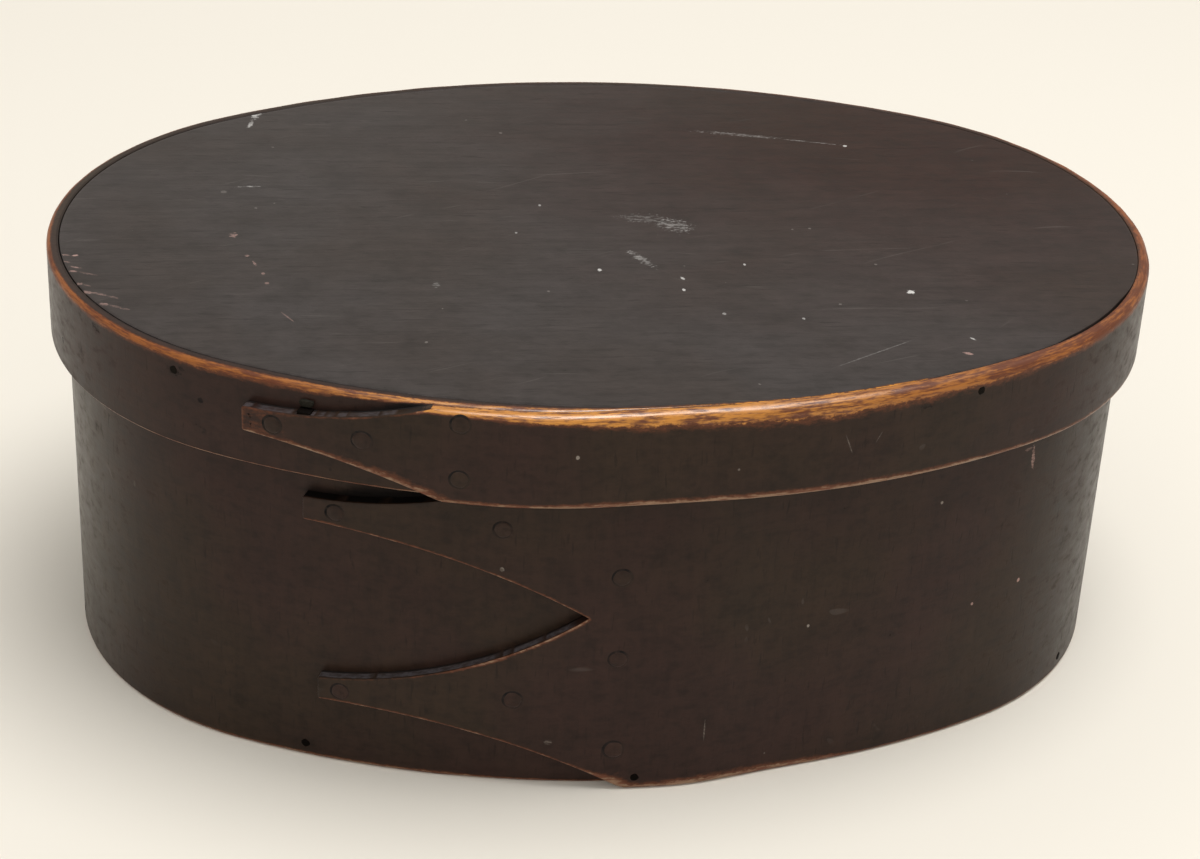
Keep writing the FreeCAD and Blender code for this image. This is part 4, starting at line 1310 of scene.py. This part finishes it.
BOARD_GAP = 0.1
BOARD_CELL = 7.0
BOARD_FOOT_ROUND = 0.3
BOARD_INSETS = (0.6, 1.4)
EDGE_WEAR_REACH = 0.8
GAP_REACH = 12

# Opening beside a board in millimetres, and wear of its edge, by travel.
BOTTOM_GAPS = [(0, 0.12), (300, 0.22), (600, 0.12)]
LID_GAPS = [(0, 0.0), (50, 0.02), (62, 0.15), (110, 0.2), (150, 0.15), (200, 0.1), (333, 0.1), (430, 0.0),
            (530, 0.0), (546, 0.6), (565, 0.65), (572, 0.1), (590, 0.02), (666, 0.0)]
LID_BOARD_WEAR = [(0, 0.2), (12, -1.0), (400, -1.0), (440, -0.25), (535, -0.25), (546, -1.0), (595, -1.0),
                  (612, 0.5), (650, 0.4), (666, 0.2)]


def board_mesh(band, low, high, round_top):
    """An oval board inside a band, cut finely enough to vary its edge."""
    bm = bmesh.new()
    oval = band.oval
    draw_oval(bm, oval, -band.thickness - BOARD_GAP, low)
    face = bmesh.ops.contextual_create(bm, geom=bm.edges[:])["faces"][0]
    raise_face(bm, face, (0, 0, high - low))
    for level, amount in ((high, round_top), (low, BOARD_FOOT_ROUND)):
        rim = [edge for edge in bm.edges if all(abs(vert.co.z - level) < 0.001 for vert in edge.verts)]
        bevel(bm, rim, amount)
    for width in BOARD_INSETS:
        bmesh.ops.inset_region(bm, faces=[largest_face(bm, 2)], thickness=width, use_even_offset=True)
    end, side = oval.end_x + oval.end_radius, oval.side_radius - oval.side_y
    slice_along(bm, 0, steps_between(-end, end, BOARD_CELL))
    slice_along(bm, 1, steps_between(-side, side, BOARD_CELL))
    return bm


def settle_board(bm, band, low, high, gap_keys, worn_keys, warp):
    """Opens the gap round a board unevenly, cups it a little, and notes its worn and bare parts."""
    oval = band.oval
    edge = bm.verts.layers.float.new("edge")
    inside = bm.verts.layers.float.new("inside")
    for vert in bm.verts:
        flat = Vector((vert.co.x, vert.co.y, 0))
        travel = oval.travel_of(flat) % oval.length
        rim, normal = oval.place(travel, -band.thickness - BOARD_GAP)
        inward = (rim - flat).dot(normal)
        height = vert.co.z
        worn = keyed(worn_keys, travel) - inward / EDGE_WEAR_REACH
        vert[edge] = max(-1.0, worn) if height > high - 0.6 else -1.0
        vert[inside] = ease((low + 1.0 - height) / 0.8)
        vert.co -= normal * ease(1 - inward / GAP_REACH) * keyed(gap_keys, travel)
        if height > (low + high) / 2:
            wave = noise.noise(Vector((flat.x * 0.011, flat.y * 0.02, 7.0)))
            vert.co.z -= warp * (0.5 + 0.5 * wave)


class OVALBOX_OT_boards(bpy.types.Operator):
    """Cuts the bottom board and the lid's board and settles them in their bands"""

    bl_idname = "ovalbox.boards"
    bl_label = "Boards"

    def execute(self, context):
        band = Band("box")
        low, high = band.bottom, BOTTOM_HIGH.z / MM
        bm = board_mesh(band, low, high, 0.4)
        settle_board(bm, band, low, high, BOTTOM_GAPS, [(0, -1.0)], 0.05)
        finished("bottom_board", bm, bottom_board_material(), "box", ["box_bottom"])
        band = Band("lid")
        low, high = LID_BOARD_LOW.z / MM, band.top
        bm = board_mesh(band, low, high, 0.25)
        settle_board(bm, band, low, high, LID_GAPS, LID_BOARD_WEAR, 0.12)
        finished("lid_board", bm, lid_board_material(), "lid", ["lid_top"])
        return {"FINISHED"}


# ---------------------------------------------------------------- tacks and pegs

# Profiles of (radius, distance out from the band's face), in millimetres.
HEAD_PROFILE = [(0, 0.20), (0.55, 0.195), (1.05, 0.17), (1.45, 0.12), (1.75, 0.04), (1.88, -0.06),
                (1.9, -0.4), (0, -0.4)]
SEAT_PROFILE = [(1.7, 0.0), (1.95, 0.035), (2.12, 0.03), (2.3, -0.02), (2.3, -0.3), (1.7, -0.3), (1.7, 0.0)]
PROFILE_HEAD_RADIUS = 2.0
HEAD_STEPS = 20
SEAT_STEPS = 24

# A tack's square shank and its tail: half widths, roundings, and how far the tail runs along the band, how
# deep it sinks in, and where and how much it thins to a point.
SHANK_HALF = 0.7
SHANK_ROUND = 0.05
TAIL_HALF = 0.68
TAIL_ROUND = 0.16
TAIL_START = -0.75
TAIL_END = 2.7
TAIL_SUNK = 0.35
POINT_START = 1.6
POINT_SHARE = 0.62

# A peg's end stands this proud of the band. The loose one has a squarer end and a near-black block below it
# that stands for its painted shadow.
PEG_STEPS = 16
PEG_PROUD = 0.05
LOOSE_PROUD = 0.8
LOOSE_HALF_WIDTH = 1.38
LOOSE_HALF_HEIGHT = 0.92
PEG_SHADOW_BLOCK = ((-1.5, 0.15, -2.6), (1.4, 2.3, -1.0))
PEG_SHADOW_ROUND = 0.1

SMALL_PIECE_SHARP = 50.0


def spun_round(bm, profile, steps):
    """Spins a profile of (radius, height) about the Y axis into a closed round shape."""
    made = [bm.verts.new((*profile[0], 0))]
    for radius, height in profile[1:]:
        made.append(draw_to(bm, made[-1], (radius, height, 0)))
    edges = [edge for edge in bm.edges if all(vert in made for vert in edge.verts)]
    before = set(bm.verts)
    bmesh.ops.spin(bm, geom=made + edges, cent=(0, 0, 0), axis=(0, 1, 0), dvec=(0, 0, 0), angle=2 * math.pi,
                   steps=steps, use_merge=True, use_normal_flip=False, use_duplicate=False)
    bmesh.ops.remove_doubles(bm, verts=[vert for vert in bm.verts if vert not in before] + made, dist=0.002)


def add_block(bm, low, high, round_edge):
    """A block between two corners, with softened edges."""
    made = bmesh.ops.create_cube(bm, size=1.0)["verts"]
    low, high = Vector(low), Vector(high)
    bmesh.ops.scale(bm, vec=high - low, verts=made)
    bmesh.ops.translate(bm, vec=(low + high) / 2, verts=made)
    bevel(bm, list({edge for vert in made for edge in vert.link_edges}), round_edge)


def tack_mesh(band, left, height, proud_tail):
    """One tack: a hammered head in the ring it sits in, a square shank, and a tail clinched along the
    inside.
    """
    scale = sizes().tack_head / MM / PROFILE_HEAD_RADIUS
    travel = band.lap_travel(left)
    seed = Vector((left * 0.7, 5.0, height * 0.7))
    bm = bmesh.new()
    painted_seat_shade = bm.verts.layers.float.new("painted_seat_shade")
    tail = bm.verts.layers.float.new("tail")
    tone = bm.verts.layers.float.new("tone")
    spun_round(bm, HEAD_PROFILE, HEAD_STEPS)
    head = set(bm.verts)
    lean = Vector((noise.noise(seed), 0, noise.noise(seed + Vector((9, 0, 0)))))
    size_change = 1 + 0.14 * noise.noise(seed + UP * 21)
    for vert in bm.verts:
        bump = noise.noise(Vector((vert.co.x, 0, vert.co.z)) * 0.8 + seed)
        lower = vert.co.y < -0.1
        vert[tone] = noise.noise(seed * 3.1) + 0.6 * bump
        vert.co.x *= size_change * (1 + 0.09 * bump)
        vert.co.z *= size_change * (1 + 0.07 * bump)
        vert.co.y += 0.0 if lower else 0.06 * bump + 0.10 * (lean.x * vert.co.x + lean.z * vert.co.z)
    spun_round(bm, SEAT_PROFILE, SEAT_STEPS)
    for vert in bm.verts:
        if vert in head:
            continue
        # The ring round the head gets painted shade, darkest towards the upper left and uneven in strength.
        facing = (0.6 * vert.co.x + 0.8 * vert.co.z) / max(vert.co.xz.length, 0.1)
        vert[painted_seat_shade] = (0.3 + 0.7 * ease(0.5 + 0.6 * facing)) * (0.8 + 0.6 * noise.noise(vert.co + seed))
        vert.co.x *= size_change
        vert.co.z *= size_change
    bmesh.ops.scale(bm, vec=(scale, 1, scale), verts=bm.verts)
    inner = 2 * band.thickness + band.gap
    outside = set(bm.verts)
    add_block(bm, (-SHANK_HALF, -inner + 0.05, -SHANK_HALF), (SHANK_HALF, -0.2, SHANK_HALF), SHANK_ROUND)
    add_block(bm, (TAIL_START, -inner - proud_tail, -TAIL_HALF), (TAIL_END, -inner + TAIL_SUNK, TAIL_HALF),
              TAIL_ROUND)
    for vert in bm.verts:
        if vert in outside:
            continue
        vert[tail] = 1.0
        if vert.co.x > POINT_START:
            vert.co.z *= POINT_SHARE
            vert.co.y = max(vert.co.y, -inner - proud_tail * 0.5)
    bmesh.ops.recalc_face_normals(bm, faces=bm.faces)
    for vert in bm.verts:
        along, out, up = vert.co
        surface = band.faces(travel + along if out > -0.5 else travel)[1]
        vert.co = band.beside(travel + along, surface + out, height + up)
    return bm


class OVALBOX_OT_tacks(bpy.types.Operator):
    """Drives the tacks through both layers of each lap and clinches them inside"""

    bl_idname = "ovalbox.tacks"
    bl_label = "Tacks"

    def execute(self, context):
        material = tack_material()
        for name, places in TACKS.items():
            band = Band(name)
            for number, (left, height) in enumerate(places, start=1):
                proud_tail = 0.0 if (name, number) == TACK_UNDER_BOARD else TAIL_PROUD
                bm = tack_mesh(band, left, band.bottom + height, proud_tail)
                node = f"{name}_tack_{number}"
                finished(f"{node}_painted", bm, material, name, [node], SMALL_PIECE_SHARP)
        return {"FINISHED"}


def peg_mesh(band, side, degrees, layers, height, loose):
    """One peg through the band into its board; the loosened one stands out, with a near-black block below it
    as its painted shadow.
    """
    radius = sizes().peg / MM
    travel = band.oval.side_travel(side, degrees)
    cover = (layers - 1) * (band.thickness + band.gap)
    depth = layers * band.thickness + (layers - 1) * band.gap + PEG_IN_BOARD
    seed = Vector((degrees * 0.3, height, len(side)))
    bm = bmesh.new()
    pale = bm.verts.layers.float.new("pale")
    proud = LOOSE_PROUD if loose else PEG_PROUD
    profile = [(0, proud), (radius * 0.6, proud), (radius * 0.92, proud - 0.04), (radius, proud - 0.12),
               (radius, -depth), (0, -depth)]
    spun_round(bm, profile, PEG_STEPS)
    for vert in bm.verts:
        bump = noise.noise(vert.co * 0.9 + seed)
        vert.co.x *= 0.9 + 0.3 * bump
        vert.co.z *= 0.9 - 0.3 * bump
        vert[pale] = 0.3 if band.name == "lid" else 0.0
        if loose and vert.co.y > -0.5:
            vert[pale] = 1.0
            square = max(abs(vert.co.x), abs(vert.co.z) * 1.3) / max(vert.co.xz.length, 0.01)
            vert.co.x *= LOOSE_HALF_WIDTH / max(square, 0.7)
            vert.co.z *= LOOSE_HALF_HEIGHT / max(square, 0.7)
    if loose:
        # A near-black block on the finger's edge below the loose peg stands for its painted shadow.
        add_block(bm, *PEG_SHADOW_BLOCK, PEG_SHADOW_ROUND)
    bmesh.ops.recalc_face_normals(bm, faces=bm.faces)
    point, normal = band.oval.place(travel, cover)
    wall = ripple(point, height)
    if loose:
        for vert in bm.verts:
            along, out, up = vert.co
            place, _ = band.oval.place(travel + along, cover + out + wall)
            vert.co = place + UP * (height + up)
        return bm
    turn = Matrix((normal.cross(UP), normal, UP)).transposed()
    bmesh.ops.transform(bm, matrix=turn.to_4x4(), verts=bm.verts)
    bmesh.ops.translate(bm, vec=point + normal * wall + UP * height, verts=bm.verts)
    return bm


class OVALBOX_OT_pegs(bpy.types.Operator):
    """Sets the wooden pegs that hold each board in its band"""

    bl_idname = "ovalbox.pegs"
    bl_label = "Pegs"

    def execute(self, context):
        material = peg_material()
        for name, places in PEGS.items():
            band = Band(name)
            height = PEG_ABOVE_FOOT if name == "box" else band.top - PEG_BELOW_RIM
            for number, (side, degrees, layers) in enumerate(places, start=1):
                bm = peg_mesh(band, side, degrees, layers, height, (name, number) == LOOSE_PEG)
                node = f"{name}_peg_{number}"
                finished(f"{node}_worn", bm, material, name, [node], SMALL_PIECE_SHARP)
        return {"FINISHED"}


# ---------------------------------------------------------------- stage

# The floor's hole is this much smaller than the box in millimetres, and the floor this many times its size.
HOLE_INSET = 1.4
FLOOR_SPREAD = 80

# Strength of the background where the camera sees it, and where a surface reflects it.
SEEN_LIGHT = 0.9
REFLECTED_LIGHT = 0.66

LIGHT_SIZE = 0.8
GLINT_SIZE = 0.6
SENSOR_WIDTH = 36.0
CLIP = (0.01, 50.0)


def floor_material():
    """A pale floor that keeps the box's shadow and isn't seen from below."""
    material, tree, shader = new_material("pale floor")
    feed(shader.inputs["Base Color"], stage_settings().floor)
    feed(shader.inputs["Roughness"], 0.9)
    feed(shader.inputs["Specular IOR Level"], 0.1)
    clear = put("ShaderNodeBsdfTransparent", {}, tree).outputs[0]
    behind = put("ShaderNodeNewGeometry", {}, tree).outputs["Backfacing"]
    mixed = put("ShaderNodeMixShader", {0: behind, 1: shader.outputs[0], 2: clear}).outputs[0]
    feed(tree.nodes["Material Output"].inputs["Surface"], mixed)
    return material


def build_floor():
    """A wide floor with a hole a little smaller than the box."""
    bm = bmesh.new()
    draw_oval(bm, Band("box").oval, -HOLE_INSET, 0.0)
    bmesh.ops.scale(bm, vec=(MM, MM, MM), verts=bm.verts)
    spread = bmesh.ops.extrude_edge_only(bm, edges=bm.edges[:])["geom"]
    bmesh.ops.scale(bm, vec=(FLOOR_SPREAD, FLOOR_SPREAD, 1), verts=vertices(spread))
    bmesh.ops.reverse_faces(bm, faces=[face for face in bm.faces if face.normal.z < 0])
    mesh = bpy.data.meshes.new("floor")
    bm.to_mesh(mesh)
    bm.free()
    mesh.materials.append(floor_material())
    floor = bpy.data.objects.new("floor", mesh)
    bpy.context.scene.collection.objects.link(floor)


def add_light(name, power, size, place, target):
    """A round lamp that looks at a target."""
    light = bpy.data.lights.new(name, "AREA")
    light.shape = "DISK"
    light.size = size
    light.energy = power
    lamp = bpy.data.objects.new(name, light)
    lamp.location = place
    lamp.rotation_euler = (Vector(target) - Vector(place)).to_track_quat("-Z", "Y").to_euler()
    bpy.context.scene.collection.objects.link(lamp)
    return lamp


def light_world(strength):
    """Even light, with a paler background where the camera looks and in reflections."""
    world = bpy.data.worlds.new("soft surround")
    bpy.context.scene.world = world
    world.use_nodes = True
    background = world.node_tree.nodes["Background"]
    path = put("ShaderNodeLightPath", {}, world.node_tree).outputs
    tint = blend_colours(path["Is Glossy Ray"], (1.0, 0.985, 0.96), (1.0, 0.92, 0.82))
    seen = maximum(path["Is Camera Ray"], path["Is Transmission Ray"])
    lit = multiply_add(seen, SEEN_LIGHT - strength, strength)
    lit = multiply_add(path["Is Glossy Ray"], REFLECTED_LIGHT - strength, lit)
    feed(background.inputs["Color"], tint)
    feed(background.inputs["Strength"], lit)


def add_camera():
    """A camera that looks at the box's middle, turned and shifted as the stage settings say."""
    chosen = stage_settings()
    data = bpy.data.cameras.new("view")
    camera = bpy.data.objects.new("view", data)
    bpy.context.scene.collection.objects.link(camera)
    turn, rise, roll = chosen.azimuth, chosen.elevation, chosen.roll
    back = Vector((math.sin(turn) * math.cos(rise), -math.cos(turn) * math.cos(rise), math.sin(rise)))
    right = Vector((math.cos(turn), math.sin(turn), 0))
    up = back.cross(right)
    rolled_right = right * math.cos(roll) + up * math.sin(roll)
    rolled_up = up * math.cos(roll) - right * math.sin(roll)
    rotation = Matrix((rolled_right, rolled_up, back)).transposed().to_4x4()
    camera.matrix_world = Matrix.Translation(UP * chosen.target + back * chosen.distance) @ rotation
    data.sensor_width = SENSOR_WIDTH
    data.lens = chosen.lens
    data.shift_x = chosen.shift_x
    data.shift_y = chosen.shift_y
    data.clip_start, data.clip_end = CLIP
    bpy.context.scene.camera = camera


class OVALBOX_OT_stage(bpy.types.Operator):
    """Lays the floor, open under the box, and sets up the soft lights and the camera"""

    bl_idname = "ovalbox.stage"
    bl_label = "Floor, lights and camera"

    def execute(self, context):
        chosen = stage_settings()
        build_floor()
        light_world(chosen.ambient)
        add_light("overhead", chosen.key, LIGHT_SIZE, (0.24, -0.12, 1.3), (0, 0, 0.05))
        add_light("front", chosen.fill, LIGHT_SIZE, (-0.6, -1.3, 0.7), (0, 0, 0.05))
        glint = add_light("glint", chosen.glint, GLINT_SIZE, (0.16, -0.45, 1.25), (0, -0.08, 0.09))
        glint.visible_diffuse = False
        add_camera()
        context.scene.view_settings.view_transform = "Standard"
        return {"FINISHED"}


# ---------------------------------------------------------------- panel and running

class OVALBOX_PT_panel(bpy.types.Panel):
    """Lists the steps that build the box"""

    bl_idname = "OVALBOX_PT_panel"
    bl_label = "Oval Box"
    bl_space_type = "VIEW_3D"
    bl_region_type = "UI"
    bl_category = "Oval Box"

    def draw(self, context):
        for step in STEPS:
            self.layout.operator(step.bl_idname)
        for label, group in (("Sizes", sizes()), ("Finish", finish()), ("Stage", stage_settings())):
            column = self.layout.column()
            column.label(text=label)
            for name in group.__annotations__:
                column.prop(group, name)


STEPS = (
    OVALBOX_OT_stage,
    OVALBOX_OT_box_band,
    OVALBOX_OT_lid_band,
    OVALBOX_OT_boards,
    OVALBOX_OT_tacks,
    OVALBOX_OT_pegs,
)
CLASSES = (OvalBoxSizes, OvalBoxFinish, OvalBoxStage, *STEPS, OVALBOX_PT_panel)


def register():
    for item in CLASSES:
        bpy.utils.register_class(item)
    bpy.types.Scene.oval_box_sizes = PointerProperty(type=OvalBoxSizes)
    bpy.types.Scene.oval_box_finish = PointerProperty(type=OvalBoxFinish)
    bpy.types.Scene.oval_box_stage = PointerProperty(type=OvalBoxStage)


def unregister():
    del bpy.types.Scene.oval_box_stage
    del bpy.types.Scene.oval_box_finish
    del bpy.types.Scene.oval_box_sizes
    for item in reversed(CLASSES):
        bpy.utils.unregister_class(item)


def main():
    register()
    bpy.ops.ovalbox.stage()
    bpy.ops.ovalbox.box_band()
    bpy.ops.ovalbox.lid_band()
    bpy.ops.ovalbox.boards()
    bpy.ops.ovalbox.tacks()
    bpy.ops.ovalbox.pegs()


if __name__ == "__main__":
    main()
